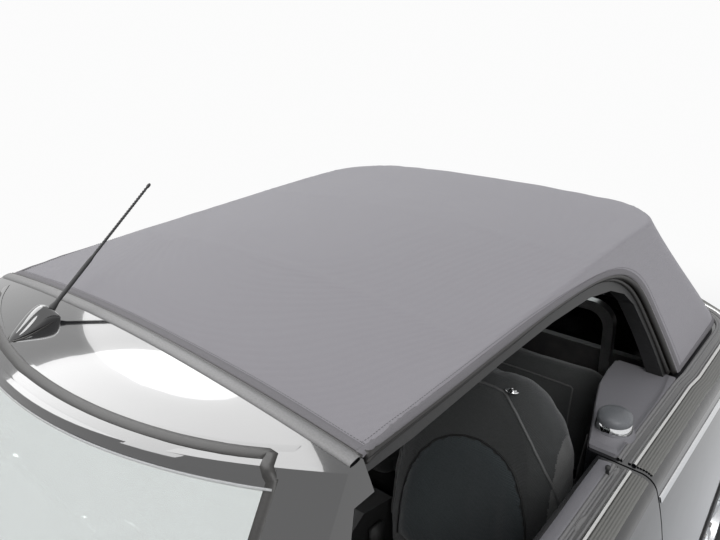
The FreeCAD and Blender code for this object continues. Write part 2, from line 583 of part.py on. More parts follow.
axle_arm = box(585, 625, 1000, REAR_AXLE_Y + 60, TYRE_RADIUS - 35, TYRE_RADIUS + 35)
axle_beam = box(-600, 600, 1120, 1180, TYRE_RADIUS - 45, TYRE_RADIUS + 15)
axle_parts = [axle_beam]
hub_plate = box(620, 700, REAR_AXLE_Y - 55, REAR_AXLE_Y + 55, TYRE_RADIUS - 55, TYRE_RADIUS + 55)
for s in (axle_arm, stub(SHAFT_END_X, REAR_AXLE_Y, 610.0),
          hub_plate, box(560, 630, 985, 1060, TYRE_RADIUS - 60, TYRE_RADIUS + 60)):
    axle_parts += [s, mirror(s)]
rear_axle = fuse(axle_parts).cut(floor)
export("rear_axle", rear_axle)

tail_pipe = cyl(75, 1250, EXHAUST_Z, (0, 1, 0), 34, 612).cut(cyl(75, 1560, EXHAUST_Z, (0, 1, 0), 29, 400))
muffler = box(-330, 330, 1560, 1720, 205, 330)
export("exhaust", fuse([tail_pipe, mirror(tail_pipe), muffler,
                        cyl(0, -980, 245, (0, 1, 0), 28, 2640).cut(rear_axle)]).cut(floor))

# Arch and sill trims
ARCH_TRIM = 46.0
trim_body = body_levels(-4.0)
trims = []
for axle_y in (FRONT_AXLE_Y, REAR_AXLE_Y):
    ring = cyl(700, axle_y, TYRE_RADIUS, (1, 0, 0), WELL_RADIUS + ARCH_TRIM, 300)
    ring = ring.cut(cyl(690, axle_y, TYRE_RADIUS, (1, 0, 0), WELL_RADIUS, 320))
    trims.append(ring.common(box(600, 900, -2000, 2000, 168, 1000)))
trims.append(box(700, 900, FRONT_AXLE_Y + 300, REAR_AXLE_Y - 300, 168, 262))
trim_back = body_levels(-SEAT_GAP)
cladding = fuse(trims).common(trim_body).cut([trim_back, wells])
export("cladding_left", cladding)
export("cladding_right", mirror(cladding))

# Windscreen frame with its wide header, and the glass
FRAME_WIDTH = 62.0
pillar_side = [(-900.0, 920.0), (SCUTTLE_BACK_Y, 920.0), (SCUTTLE_BACK_Y, 958.0), (-450.0, 958.0), (-40.0, 1290.0),
               (-40.0, 1500.0), (-900.0, 1500.0)]
GLASS_OUTLINE = [(-640.0, 992.0), (640.0, 992.0), (497.0, 1352.0), (-497.0, 1352.0)]
HEADER_LIP = 8.0
HEADER_THICK = 38.0
GLASS_INSET, GLASS_THICK = 5.0, 7.0
roof_skin = crowned(TOP_STATIONS, RAIL_SPAN, half=800.0, floor=800.0)
roof_under = crowned(TOP_STATIONS, RAIL_SPAN, half=800.0, floor=800.0, lower=HEADER_THICK)
screen = screen_form()
frame = screen.common(roof_skin).cut(screen_form(FRAME_WIDTH - 14.0).common(roof_under))
frame = frame.common(prism(pillar_side, "yz", -900, 900))
under_lip = crowned(TOP_STATIONS, RAIL_SPAN, half=800.0, floor=800.0, lower=HEADER_LIP)
window_run = prism(GLASS_OUTLINE, "xz", -900, -60, 22.0).common(screen_form(-5.0))
rebate = window_run.common(under_lip).cut(screen_form(GLASS_INSET + GLASS_THICK + SEAT_GAP))
window = window_run.common(roof_under).cut(screen_form(FRAME_WIDTH))
frame = frame.common(box(-900, 900, -900, TOP_FRONT_Y - SEAT_GAP, 900, 1500))
rear_cut = prism([(-480, 940), (-480, 1000), (-296, 1150), (-172, 1260), (-112, 1345), (-112, 1500), (0, 1500),
                  (0, 940)], "yz", -900, 900)
header_keep = box(-900, 900, -400, -90, 1300, 1500)
frame = frame.cut([window, rebate, rear_cut.cut(header_keep)])
door_space = crowned(BELT_STATIONS, CROWN_SPAN, lower=-1.5 * GAP)
door_space = door_space.common(both(box(CABIN_X - 10, 900, WING_REAR_Y, 0, 900, 1100)))
arm_space = both(box(BONNET_HINGE_X - 5 - GAP, BONNET_HINGE_X + 5 + GAP, -720, BONNET_PIVOT_Y, 900, 936))
frame = frame.cut([scuttle, door_space, arm_space])
export("windscreen_frame", frame)
below_header = crowned(TOP_STATIONS, RAIL_SPAN, half=800.0, floor=800.0, lower=HEADER_LIP + SEAT_GAP)
glass = screen_form(GLASS_INSET).cut(screen_form(GLASS_INSET + GLASS_THICK)).common(below_header)
glass_outline = [(x * (1 - SEAT_GAP / 600), z) for x, z in GLASS_OUTLINE]
glass = glass.common(prism(glass_outline, "xz", -900, -60, 22.0))
export("windscreen", glass)

# Soft top: fabric shell with its rear window, over two rails and four bows
FABRIC_EDGE = [
    # y, z of the fabric's lower edge from the header back to the belt
    (-97.0, 1342.0), (30.0, 1338.0), (319.0, 1343.0), (526.0, 1342.0), (710.0, 1332.0), (830.0, 1310.0),
    (905.0, 1276.0), (953.0, 1225.0), (987.0, 1131.0), (1018.0, 1026.0), (1040.0, 940.0),
]
SIDE_OPENING = [(-800.0, 1342.0)] + FABRIC_EDGE + [(1040.0, 700.0), (-800.0, 700.0)]
REAR_WINDOW = [(-430.0, 1075.0), (430.0, 1075.0), (380.0, 1300.0), (-380.0, 1300.0)]
window_hole = prism(REAR_WINDOW, "xz", 1000, 1700, 34.0)
outer_top = top_form()
lining = top_form(FABRIC)
soft_top = outer_top.cut([lining, window_hole, prism(SIDE_OPENING, "yz", 420, 900),
                          prism(SIDE_OPENING, "yz", -900, -420), belt])
soft_top = soft_top.cut(screen.common(box(-900, 900, -900, TOP_FRONT_Y, 900, 1500)))
export("soft_top", soft_top)

rear_glass = top_form(7.0).cut(top_form(13.0))
rear_glass = rear_glass.common(prism([(x * 0.9993, z) for x, z in REAR_WINDOW], "xz", 1000, 1700, 34.0))
export("rear_window", rear_glass)

RAIL_IN, RAIL_UP = 38.0, 16.0
edge_points = [Vector(y, z, 0) for y, z in FABRIC_EDGE]
inward, outward = [], []
for i, here in enumerate(edge_points):
    before = edge_points[max(i - 1, 0)]
    after = edge_points[min(i + 1, len(edge_points) - 1)]
    along = (after - before).normalize()
    across = Vector(along.y, -along.x, 0)
    inward.append((here.x + across.x * RAIL_IN, here.y + across.y * RAIL_IN))
    outward.append((here.x - across.x * RAIL_UP, here.y - across.y * RAIL_UP))
rail_band = inward + outward[::-1]
frame_gap = FABRIC + SEAT_GAP
frame_outer = top_form(frame_gap)
rail_shell = frame_outer.cut(top_form(frame_gap + RAIL_WIDTH))
rear_link = prism([(900.0, 1292.0), (950.0, 1228.0), (1199.0, 1312.0), (1199.0, 1352.0)], "yz", 430, 900)
rails = rail_shell.common(prism(rail_band, "yz", 430, 900).fuse(rear_link)).cut(belt)
BOW_DEPTH, BOW_WIDTH = 20.0, 34.0
under_bows = crowned(TOP_STATIONS, RAIL_SPAN, half=800.0, floor=800.0, lower=frame_gap + BOW_DEPTH)
bows = [frame_outer.common(box(-620, 620, y, y + BOW_WIDTH, 1280, 1500)) for y in (-90.0, 226.0, 700.0, 1165.0)]
bows = [bow.cut(under_bows) for bow in bows]
top_frame = fuse([rails, mirror(rails)] + bows).cut(frame)
export("top_frame", top_frame)

# Belt trim strip around the cabin, outside the doors' top edge
belt_strip = box(-900, 900, 592, 1900, 916, 930).common(body_levels(-3.5))
belt_strip = belt_strip.cut([trim_back, box(-LID_HALF - 20, LID_HALF + 20, 1700, 1900, 900, 1000)])
export("belt_trim", belt_strip)

# Tail lamps let into the rear quarters
tail_outline = [(536.0, 690.0), (640.0, 700.0), (660.0, 800.0), (640.0, 880.0), (536.0, 872.0)]
tail_lamp = prism(tail_outline, "xz", 1500, 1900, 30.0).common(body_levels(-9.0)).cut(trim_back)
export("tail_lamps", both(tail_lamp))

# Dashboard, console and steering
DASH_X = 636.0
dash_profile = [(-560.0, 930.0), (-420.0, 950.0), (-250.0, 925.0), (-205.0, 850.0), (-230.0, 760.0), (-330.0, 640.0),
                (-560.0, 640.0)]
dash = prism(dash_profile, "yz", -DASH_X, DASH_X, 26.0)
dash = dash.fuse(box(-DASH_X, DASH_X, SCUTTLE_BACK_Y + SEAT_GAP, -520, 660, 900))
centre_dial = cyl(0, -300, 852, (0, 1, 0), 98, 112)
export("dashboard", fuse([dash, centre_dial]))

console = prism([(-330.0, 345.3), (560.0, 345.3), (560.0, 560.0), (430.0, 590.0), (260.0, 500.0), (-60.0, 470.0),
                 (-215.0, 740.0), (-330.0, 639.7)], "yz", -92, 92)
lever = cyl(0, 20, 460, (0, -0.15, 1), 9, 130)
knob = Part.makeSphere(26, Vector(0, 0, 595))
brake_lever = cyl(55, 120, 470, (0, 0.85, 0.45), 14, 210)
export("console", fuse([console, lever, knob, brake_lever]))

WHEEL_HUB = Vector(370, -130, 790)
COLUMN_SHAFT = 11.0
COLUMN = Vector(0, -0.93, -0.37).normalize()
column = Part.makeCylinder(34, 250, WHEEL_HUB + COLUMN * 42, COLUMN)
column = fuse([column, Part.makeCylinder(COLUMN_SHAFT, 40, WHEEL_HUB + COLUMN * 12, COLUMN)])
export("steering_column", column.cut(fuse([dash, centre_dial])))
ring_solid = Part.makeTorus(178, 15, WHEEL_HUB, COLUMN)
arms = []
for angle in (0.0, 180.0, 270.0):
    spoke = box(0, 176, -8, 8, -15, 15)
    spoke.rotate(Vector(0, 0, 0), Vector(0, 1, 0), angle)
    spoke.rotate(Vector(0, 0, 0), Vector(1, 0, 0), -math.degrees(math.atan2(-COLUMN.z, -COLUMN.y)))
    spoke.translate(WHEEL_HUB + COLUMN * 8)
    arms.append(spoke)
boss = Part.makeCylinder(62, 40, WHEEL_HUB - COLUMN * 4, COLUMN)
shaft_bore = Part.makeCylinder(COLUMN_SHAFT + RUNNING_CLEARANCE, 60, WHEEL_HUB + COLUMN * 6, COLUMN)
export("steering_wheel", fuse([ring_solid, boss] + arms).cut(shaft_bore))

# Front seats: a cushion and a leaning backrest with broad shoulders on one base
SEAT_X = 370.0
SEAT_HALF = 245.0
SEAT_BASE_HALF = 215.0
BACK_OUTLINE = [
    # distance from the seat's middle, z up one side of the backrest
    (SEAT_HALF, 400.0), (SEAT_HALF, 840.0), (215.0, 965.0), (95.0, 1072.0),
]


def seat(x):
    cushion = prism([(20.0, 330.0), (560.0, 330.0), (560.0, 470.0), (430.0, 470.0), (40.0, 520.0), (0.0, 450.0)],
                    "yz", x - SEAT_HALF, x + SEAT_HALF)
    back = prism([(440.0, 440.0), (580.0, 440.0), (735.0, 1050.0), (615.0, 1078.0)], "yz", x - SEAT_HALF,
                 x + SEAT_HALF)
    outline = [(x + out, z) for out, z in BACK_OUTLINE] + [(x - out, z) for out, z in BACK_OUTLINE[::-1]]
    base = box(x - SEAT_BASE_HALF, x + SEAT_BASE_HALF, 60, 520, 220.3, 332)
    return fuse([cushion, back.common(prism(outline, "xz", 300, 900, 55.0)), base])


left_seat = seat(SEAT_X)
export("front_seat_left", left_seat.cut(floor))
export("front_seat_right", mirror(left_seat).cut(floor))

# Rear bench and the two roll hoops behind it
bench = prism([(690.0, 360.6), (1125.0, 381.0), (1130.0, 540.0), (950.0, 545.0), (700.0, 570.0)], "yz", -560, 560)
HOOP_FRONT_Y, BULKHEAD_Y = 1122.0, 1150.0
bench_back = prism([(960.0, 520.0), (HOOP_FRONT_Y - SEAT_GAP, 520.0), (HOOP_FRONT_Y - SEAT_GAP, 900.0),
                    (1080.0, 900.0)], "yz", -600, 600)
export("rear_bench", fuse([bench, bench_back]).cut([floor, wells]))
hoop_outer = prism([(150, 640), (490, 640), (490, 1090), (150, 1090)], "xz", HOOP_FRONT_Y, BULKHEAD_Y - SEAT_GAP,
                   70.0)
hoop_inner = prism([(180, 500), (460, 500), (460, 1060), (180, 1060)], "xz", 1050, 1200, 50.0)
hoop = hoop_outer.cut(hoop_inner).common(box(0, 600, 1100, 1200, 720, 1200))
export("roll_hoops", both(hoop))

# Side trim behind the doors: a shelf with a round capped knob on a flared foot
KNOB_X, KNOB_Y = 667.0, 684.0
SHELF_TOP_Z = 987.0
trim = box(623, CABIN_X - SEAT_GAP, 640, 1090, 560, 965)
shelf = prism([(641.0, 600.0), (706.0, 600.0), (706.0, 1010.0), (552.0, 1010.0), (560.0, 862.0)], "xy",
              SHELF_TOP_Z - 25, SHELF_TOP_Z, 6.0)
pedestal = Part.makeCone(50, 38, 30, Vector(KNOB_X, KNOB_Y, SHELF_TOP_Z - 11))
cap = cyl(KNOB_X, KNOB_Y, SHELF_TOP_Z + 17, (0, 0, 1), 36, 28)
cap = cap.makeFillet(9.0, [cap.Edges[0]])
knob_set = fuse([shelf, trim, pedestal, cap])
side_trim = knob_set.cut([side, top_frame])
export("side_trim_left", side_trim)
export("side_trim_right", mirror(side_trim))

# Aerial on the header
aerial_base = Part.makeCone(22, 11, 26, Vector(-190, -235, 1345))
aerial_rod = Part.makeCone(5.5, 2.0, 330, Vector(-190, -232, 1362), Vector(0, 0.72, 0.69))
export("antenna", fuse([aerial_base, aerial_rod]).cut(frame))
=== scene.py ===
import math

import bmesh
import bpy
from mathutils import Matrix, Vector, noise
from mathutils.bvhtree import BVHTree


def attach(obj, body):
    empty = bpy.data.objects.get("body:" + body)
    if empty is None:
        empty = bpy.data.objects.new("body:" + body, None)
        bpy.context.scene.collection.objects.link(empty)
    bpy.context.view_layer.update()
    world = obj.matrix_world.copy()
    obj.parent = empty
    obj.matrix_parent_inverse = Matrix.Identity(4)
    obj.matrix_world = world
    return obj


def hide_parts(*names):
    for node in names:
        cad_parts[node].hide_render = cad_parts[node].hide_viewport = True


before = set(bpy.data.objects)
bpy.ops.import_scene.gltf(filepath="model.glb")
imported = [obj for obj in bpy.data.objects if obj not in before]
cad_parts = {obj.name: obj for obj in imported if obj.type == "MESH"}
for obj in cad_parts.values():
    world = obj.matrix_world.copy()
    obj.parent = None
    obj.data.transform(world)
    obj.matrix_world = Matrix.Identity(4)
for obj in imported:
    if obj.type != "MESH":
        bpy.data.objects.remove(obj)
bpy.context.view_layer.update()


# Painted shell: bonnet, wings, doors, sides, tail and bumpers.
# Pressed steel and moulded bumper skins under black enamel and a clear coat, bolted or
# hinged to the floor and the scuttle.
def add_node(net, kind, inputs=(), **settings):
    """Shader node in a net. Each input is an output socket to link or a plain value."""
    made = net.nodes.new(f"ShaderNode{kind}")
    for key, value in settings.items():
        setattr(made, key, value)
    for key, source in dict(inputs).items():
        if isinstance(source, bpy.types.NodeSocket):
            net.links.new(source, made.inputs[key])
        else:
            made.inputs[key].default_value = source
    return made


def finish(name, colours, scale=40.0, rough=(0.4, 0.5), bump=0.0, **sockets):
    """Node material: a noise drifts the colour and the roughness and lifts a fine bump."""
    mat = bpy.data.materials.new(name)
    mat.use_nodes = True
    net = mat.node_tree
    shader = net.nodes["Principled BSDF"]
    where = add_node(net, "TexCoord").outputs["Object"]
    grain = add_node(net, "TexNoise", {"Scale": scale, "Detail": 6.0, "Vector": where}).outputs["Fac"]
    tint = add_node(net, "ValToRGB", {"Fac": grain})
    for element, place, colour in zip(tint.color_ramp.elements, (0.3, 0.7), colours):
        element.position = place
        element.color = (*colour, 1.0)
    span = add_node(net, "MapRange", {"To Min": rough[0], "To Max": rough[1], "Value": grain})
    net.links.new(tint.outputs["Color"], shader.inputs["Base Color"])
    net.links.new(span.outputs["Result"], shader.inputs["Roughness"])
    if bump:
        relief = add_node(net, "Bump", {"Strength": bump, "Distance": 0.001, "Height": grain})
        net.links.new(relief.outputs["Normal"], shader.inputs["Normal"])
    for socket, value in sockets.items():
        shader.inputs[socket.replace("_", " ")].default_value = value
    return mat


def dress(mat, *names):
    """Gives CAD nodes one material."""
    for name in names:
        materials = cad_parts[name].data.materials
        materials.clear()
        materials.append(mat)


paint = finish("black_enamel", [(0.006, 0.006, 0.007), (0.011, 0.011, 0.012)], 900.0, (0.16, 0.22),
               0.02, Coat_Weight=1.0, Coat_Roughness=0.02)
dress(paint, "bonnet", "wing_left", "wing_right", "door_left", "door_right", "side_left", "side_right",
      "tail_panel", "boot_lid", "front_bumper", "rear_bumper", "scuttle")

# Windscreen frame and mouldings: the pressed frame is lacquered gloss black and stands on
# the scuttle. Claddings, intake, column, dash and console are grained plastic, clipped on.
gloss = finish("piano_black", [(0.004, 0.004, 0.005), (0.007, 0.007, 0.008)], 700.0, (0.08, 0.12), 0.01,
               Coat_Weight=1.0, Coat_Roughness=0.02, Coat_IOR=1.8)
dress(gloss, "windscreen_frame")
grained = finish("grained_black_plastic", [(0.018, 0.018, 0.018), (0.035, 0.035, 0.035)], 1200.0,
                 (0.5, 0.65), 0.35)
dress(grained, "cladding_left", "cladding_right", "intake_grille", "steering_column", "dashboard", "console")

# Bright trim: the grille in the bonnet's nose and the strip round the body's belt, pressed
# from chromed metal and clipped on.
bright = finish("bright_chrome", [(0.62, 0.63, 0.64), (0.74, 0.74, 0.75)], 300.0, (0.05, 0.1), 0.01,
                Metallic=1.0)
dress(bright, "grille", "belt_trim")

# Underside: floor, front frame, engine block, axle and knuckles under chassis enamel, with
# a bare steel exhaust hung below them.
under = finish("chassis_enamel", [(0.02, 0.02, 0.021), (0.04, 0.038, 0.036)], 30.0, (0.45, 0.6), 0.2)
dress(under, "floor_pan", "front_frame", "rear_axle", "knuckle_left", "knuckle_right", "engine_block")
steel = finish("dull_steel", [(0.3, 0.29, 0.28), (0.42, 0.41, 0.4)], 60.0, (0.35, 0.5), 0.1, Metallic=1.0)
dress(steel, "exhaust")

# Wheels: cast rims in silver lacquer, bolted to the knuckles and the rear axle. The rubber
# is for the tyres, which are made further down.
alloy = finish("wheel_silver", [(0.5, 0.51, 0.52), (0.6, 0.61, 0.62)], 500.0, (0.25, 0.32), 0.02,
               Metallic=0.9)
rubber = finish("tyre_rubber", [(0.012, 0.012, 0.012), (0.022, 0.022, 0.022)], 500.0, (0.7, 0.85), 0.3)
dress(alloy, "rim_front_left", "rim_front_right", "rim_rear_left", "rim_rear_right")

# Cabin, top frame and rear glass: satin metal hoops behind the bench, moulded grey side
# trim, the top's black frame, red tail lenses and toughened glass in the rear window.
dress(finish("satin_hoop", [(0.4, 0.4, 0.4), (0.5, 0.5, 0.5)], 300.0, (0.3, 0.4), 0.02, Metallic=1.0),
      "roll_hoops")
trim_grey = finish("moulded_grey_trim", [(0.19, 0.185, 0.195), (0.25, 0.24, 0.25)], 900.0, (0.45, 0.6), 0.3)
dress(trim_grey, "side_trim_left", "side_trim_right")
dress(finish("top_frame_black", [(0.01, 0.01, 0.01), (0.02, 0.02, 0.02)], 200.0, (0.4, 0.5), 0.05),
      "top_frame")
lamp_red = finish("red_lens", [(0.35, 0.005, 0.008), (0.45, 0.01, 0.012)], 200.0, (0.08, 0.12), 0.02,
                  Coat_Weight=0.5)
dress(lamp_red, "tail_lamps")
glass = finish("window_glass", [(0.8, 0.86, 0.85), (0.84, 0.9, 0.89)], 3.0, (0.02, 0.03), 0.0,
               Transmission_Weight=1.0, IOR=1.45)
dress(glass, "rear_window")

# Soft top: woven acrylic cloth bonded to a lining, stretched from the windscreen header
# over bows and sewn to hems that follow the side rails, the rear quarters and the body's
# belt. One continuous curved sheet with a bonded rear window.
EAST, AFT, UP = Vector((1, 0, 0)), Vector((0, 1, 0)), Vector((0, 0, 1))
FORE, DOWN = -AFT, -UP
SIDES = (("left", 1), ("right", -1))


def tree_of(*items):
    """Search tree over the surfaces of some CAD nodes or made pieces."""
    mesh = bmesh.new()
    for item in items:
        mesh.from_mesh((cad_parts[item] if isinstance(item, str) else item).data)
    tree = BVHTree.FromBMesh(mesh)
    mesh.free()
    return tree


def cast(tree, start, way):
    """Place where a ray first meets a surface."""
    return tree.ray_cast(Vector(start), way)[0]


def grid(rows, wide, closed=False, ring=False):
    """Faces over points given row by row: closed joins last row to first, ring each row's ends."""
    faces = []
    for j in range(rows if closed else rows - 1):
        for i in range(wide if ring else wide - 1):
            here, there, beside = j * wide, (j + 1) % rows * wide, (i + 1) % wide
            faces.append((here + i, here + beside, there + beside, there + i))
    return faces


def piece(name, verts, faces, mat, body="body", smooth=True):
    """Mesh object that rides on a body, with one material."""
    mesh = bpy.data.meshes.new(name)
    mesh.from_pydata([tuple(v) for v in verts], [], faces)
    mesh.materials.append(mat)
    for polygon in mesh.polygons:
        polygon.use_smooth = smooth
    made = bpy.data.objects.new(name, mesh)
    bpy.context.collection.objects.link(made)
    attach(made, body)
    return made


def between(rows, t):
    """Point on a smooth line through rows of numbers, for t from 0 to 1."""
    place = t * (len(rows) - 1)
    i = min(int(place), len(rows) - 2)
    f = place - i
    a, b = rows[max(i - 1, 0)], rows[i]
    c, d = rows[i + 1], rows[min(i + 2, len(rows) - 1)]
    return [0.5 * (2 * q + (r - p) * f + (2 * p - 5 * q + 4 * r - s) * f * f + (3 * q - p - 3 * r + s) * f ** 3)
            for p, q, r, s in zip(a, b, c, d)]


def spread(points, count):
    """The same line with its points evenly apart."""
    lengths = [0.0]
    for a, b in zip(points, points[1:]):
        lengths.append(lengths[-1] + (b - a).length)
    out, i = [], 0
    for k in range(count):
        want = lengths[-1] * k / (count - 1)
        while i < len(lengths) - 2 and lengths[i + 1] < want:
            i += 1
        span = max(lengths[i + 1] - lengths[i], 1e-9)
        out.append(points[i].lerp(points[i + 1], (want - lengths[i]) / span))
    return out


TOP_ROWS = [
    # side edge y and z, middle y and z
    (-0.0975, 1.3455, -0.0975, 1.381),
    (0.11, 1.3445, 0.11, 1.4),
    (0.319, 1.3465, 0.33, 1.411),
    (0.526, 1.3455, 0.59, 1.414),
    (0.712, 1.335, 0.84, 1.41),
    (0.833, 1.313, 1.01, 1.403),
    (0.909, 1.278, 1.13, 1.396),
    (0.957, 1.226, 1.222, 1.374),
    (0.991, 1.131, 1.303, 1.29),
    (1.022, 1.026, 1.44, 1.11),
    (1.033, 0.99, 1.53, 0.997),
]
TOP_ACROSS, TOP_ALONG = 180, 130
SHELL = tree_of("soft_top", "rear_window")
BOW_Y = (-0.02, 0.243, 0.717, 1.18)


def top_row(t):
    """One line of the cloth from its left edge over to its right edge."""
    edge_y, edge_z, mid_y, mid_z = between(TOP_ROWS, t)
    hit = cast(SHELL, (2.0, edge_y, edge_z), -EAST)
    edge_x = hit.x if hit else 0.6
    up = Vector((0, mid_y - edge_y, mid_z - edge_z)).normalized()
    start = Vector((0, edge_y, edge_z)) - up * 0.35
    first = math.atan2(0.35, edge_x)
    found = []
    for k in range(241):
        angle = first + (math.pi - 2 * first) * k / 240
        ray = Vector((math.cos(angle), 0, 0)) + up * math.sin(angle)
        place = SHELL.ray_cast(start + ray * 1.6, -ray, 1.35)[0]
        if place and (place - start).length > 0.3:
            found.append(place)
    return spread(found, TOP_ACROSS + 1)


top_rows = [top_row(j / TOP_ALONG) for j in range(TOP_ALONG + 1)]
WINDOW_HALF_LOW, WINDOW_HALF_HIGH, WINDOW_LOW, WINDOW_HIGH = 0.43, 0.38, 1.075, 1.3


def in_window(point, margin=0.0):
    """Whether a point of the cloth lies inside the rear window's opening."""
    share = (point.z - WINDOW_LOW) / (WINDOW_HIGH - WINDOW_LOW)
    half = WINDOW_HALF_LOW + (WINDOW_HALF_HIGH - WINDOW_HALF_LOW) * share - margin
    inside = WINDOW_LOW + margin < point.z < WINDOW_HIGH - margin
    return point.y > 1.1 and inside and abs(point.x) < half


for row in top_rows:
    for p in row:
        ridge = sum(math.exp(-((p.y - bow) / 0.007) ** 2) for bow in BOW_Y[1:3])
        sag = sum(0.5 - 0.5 * math.cos(2 * math.pi * (p.y - a) / (b - a)) for a, b in zip(BOW_Y, BOW_Y[1:])
                  if a < p.y < b)
        weight = min(1.0, max(0.0, (0.56 - abs(p.x)) / 0.06)) if p.z > 1.34 else 0.0
        slack = noise.noise(Vector((p.x * 4.0, p.y * 2.5, p.z * 3.0))) * 0.0014
        p.z += weight * (0.0016 * ridge - 0.0022 * sag) + slack * weight
top_points = [p for row in top_rows for p in row]
top_faces = [face[::-1] for face in grid(TOP_ALONG + 1, TOP_ACROSS + 1)
             if not in_window(sum((top_points[k] for k in face), Vector()) / 4, 0.01)]
canvas = finish("woven_canvas", [(0.268, 0.252, 0.264), (0.295, 0.278, 0.29)], 700.0, (0.82, 0.92), 0.0,
                Sheen_Weight=0.25, Sheen_Roughness=0.5)


def weave(mat, pitch, depth):
    """Adds crossed threads to a material's surface."""
    net, below = mat.node_tree, {}
    where = add_node(net, "TexCoord").outputs["Object"]
    for direction in "XYZ":
        thread = add_node(net, "TexWave", {"Scale": 0.314 / pitch, "Distortion": 0.3, "Vector": where},
                          bands_direction=direction).outputs["Fac"]
        relief = add_node(net, "Bump", {"Strength": depth, "Distance": 0.0004, "Height": thread, **below})
        below = {"Normal": relief.outputs["Normal"]}
    net.links.new(below["Normal"], net.nodes["Principled BSDF"].inputs["Normal"])
    return mat


weave(canvas, 0.0022, 0.5)
lining = weave(finish("top_lining", [(0.1, 0.1, 0.1), (0.13, 0.13, 0.13)], 500.0, (0.85, 0.95)), 0.003, 0.3)
cover = piece("soft_top_cloth", top_points, top_faces, canvas)
cover.data.materials.append(lining)
thick = cover.modifiers.new("ply", "SOLIDIFY")
thick.thickness, thick.offset = 0.016, -1.0
thick.material_offset, thick.material_offset_rim = 1, 0
TOP_SKIN = BVHTree.FromPolygons(top_points, top_faces)
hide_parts("soft_top")

# Front seats: foam bodies under sewn cloth, each a cushion and a backrest with raised side
# bolsters, on a pressed steel pan and runners. Every foam is blown up a little by cloth
# simulation inside its cover, so that it crowns between its seams.
seat_cloth = weave(finish("seat_weave", [(0.04, 0.042, 0.041), (0.058, 0.06, 0.059)], 420.0, (0.78, 0.9), 0.0,
                          Sheen_Weight=0.3), 0.0026, 0.6)
seat_insert = weave(finish("seat_insert_weave", [(0.03, 0.038, 0.041), (0.044, 0.053, 0.056)], 260.0,
                           (0.75, 0.88), 0.0, Sheen_Weight=0.35), 0.0034, 0.8)
# The backrests' side bolsters take a lighter grey copy of the seat cloth: painted light on the lit sides of the
# backrests.
bolster_painted_light = weave(finish("bolster_painted_light_weave", [(0.115, 0.115, 0.11), (0.15, 0.15, 0.145)], 380.0,
                            (0.72, 0.86), 0.0, Sheen_Weight=0.3), 0.0022, 0.5)
seat_seam = finish("seat_seam", [(0.012, 0.012, 0.012), (0.02, 0.02, 0.02)], 500.0, (0.6, 0.8), 0.0)
piping_mat = finish("seat_piping", [(0.11, 0.11, 0.108), (0.14, 0.14, 0.137)], 600.0, (0.55, 0.7), 0.2)


def tube(name, rings, mat, body="body", closed=False):
    """Skin through rings of points, with flat ends unless it runs round."""
    wide = len(rings[0])
    faces = grid(len(rings), wide, closed, True)
    if not closed:
        faces += [tuple(range(wide))[::-1], tuple(range((len(rings) - 1) * wide, len(rings) * wide))]
    return piece(name, [p for ring in rings for p in ring], faces, mat, body)


def pillow(name, sections, mat, grow=3.0, cap=0.01, voxel=0.009):
    """Foam form through closed sections, remeshed, blown up by cloth pressure and capped."""
    made = tube(name, sections, mat)
    bm = bmesh.new()
    bm.from_mesh(made.data)
    bmesh.ops.recalc_face_normals(bm, faces=bm.faces)
    bm.to_mesh(made.data)
    bm.free()
    shell = made.modifiers.new("form", "REMESH")
    shell.mode, shell.voxel_size, shell.use_smooth_shade = "VOXEL", voxel, True
    ease = made.modifiers.new("ease", "SMOOTH")
    ease.factor, ease.iterations = 0.5, 6
    apply_all(made)
    rest = [v.co.copy() for v in made.data.vertices]
    blow = made.modifiers.new("blow", "CLOTH")
    blow.settings.use_pressure = True
    blow.settings.uniform_pressure_force = grow
    blow.settings.effector_weights.gravity = 0.0
    blow.settings.quality = 4
    for step in range(1, 13):
        bpy.context.scene.frame_set(step)
    apply_all(made)
    for vert, start in zip(made.data.vertices, rest):
        move = vert.co - start
        if move.length > cap:
            vert.co = start + move.normalized() * cap
    bpy.context.scene.frame_set(1)
    subdivide(made)
    for polygon in made.data.polygons:
        polygon.use_smooth = True
    return made


def apply_all(made):
    """Bakes every modifier into the mesh."""
    seen = made.evaluated_get(bpy.context.evaluated_depsgraph_get())
    mesh = bpy.data.meshes.new_from_object(seen)
    made.modifiers.clear()
    made.data = mesh


def subdivide(made, levels=1):
    """Rounds a mesh by subdivision."""
    fine = made.modifiers.new("fine", "SUBSURF")
    fine.levels = fine.render_levels = levels
    apply_all(made)


SEAT_X = 0.37
BACK_LEAN = Vector((0, 0.262, 0.965)).normalized()
BACK_FACE = Vector((0, -BACK_LEAN.z, BACK_LEAN.y))


def foam_ring(width, depth, dip):
    """Superellipse of a width and a depth, its upper side dipped between two bolsters."""
    points = []
    for k in range(48):
        angle = 2 * math.pi * k / 48
        c, s = math.cos(angle), math.sin(angle)
        a = math.copysign(abs(c) ** 0.45, c) * width / 2
        b = math.copysign(abs(s) ** 0.6, s) * depth / 2
        if s > 0:
            b -= dip * (1 - min(1.0, abs(a) / (width / 2) / 0.62) ** 3)
        points.append((a, b))
    return points


def back_section(x, height, width, depth, centre_y, hollow):
    """Backrest section across its lean."""
    centre = Vector((x, centre_y, height))
    return [centre + EAST * a + BACK_FACE * b for a, b in foam_ring(width, depth, hollow)]


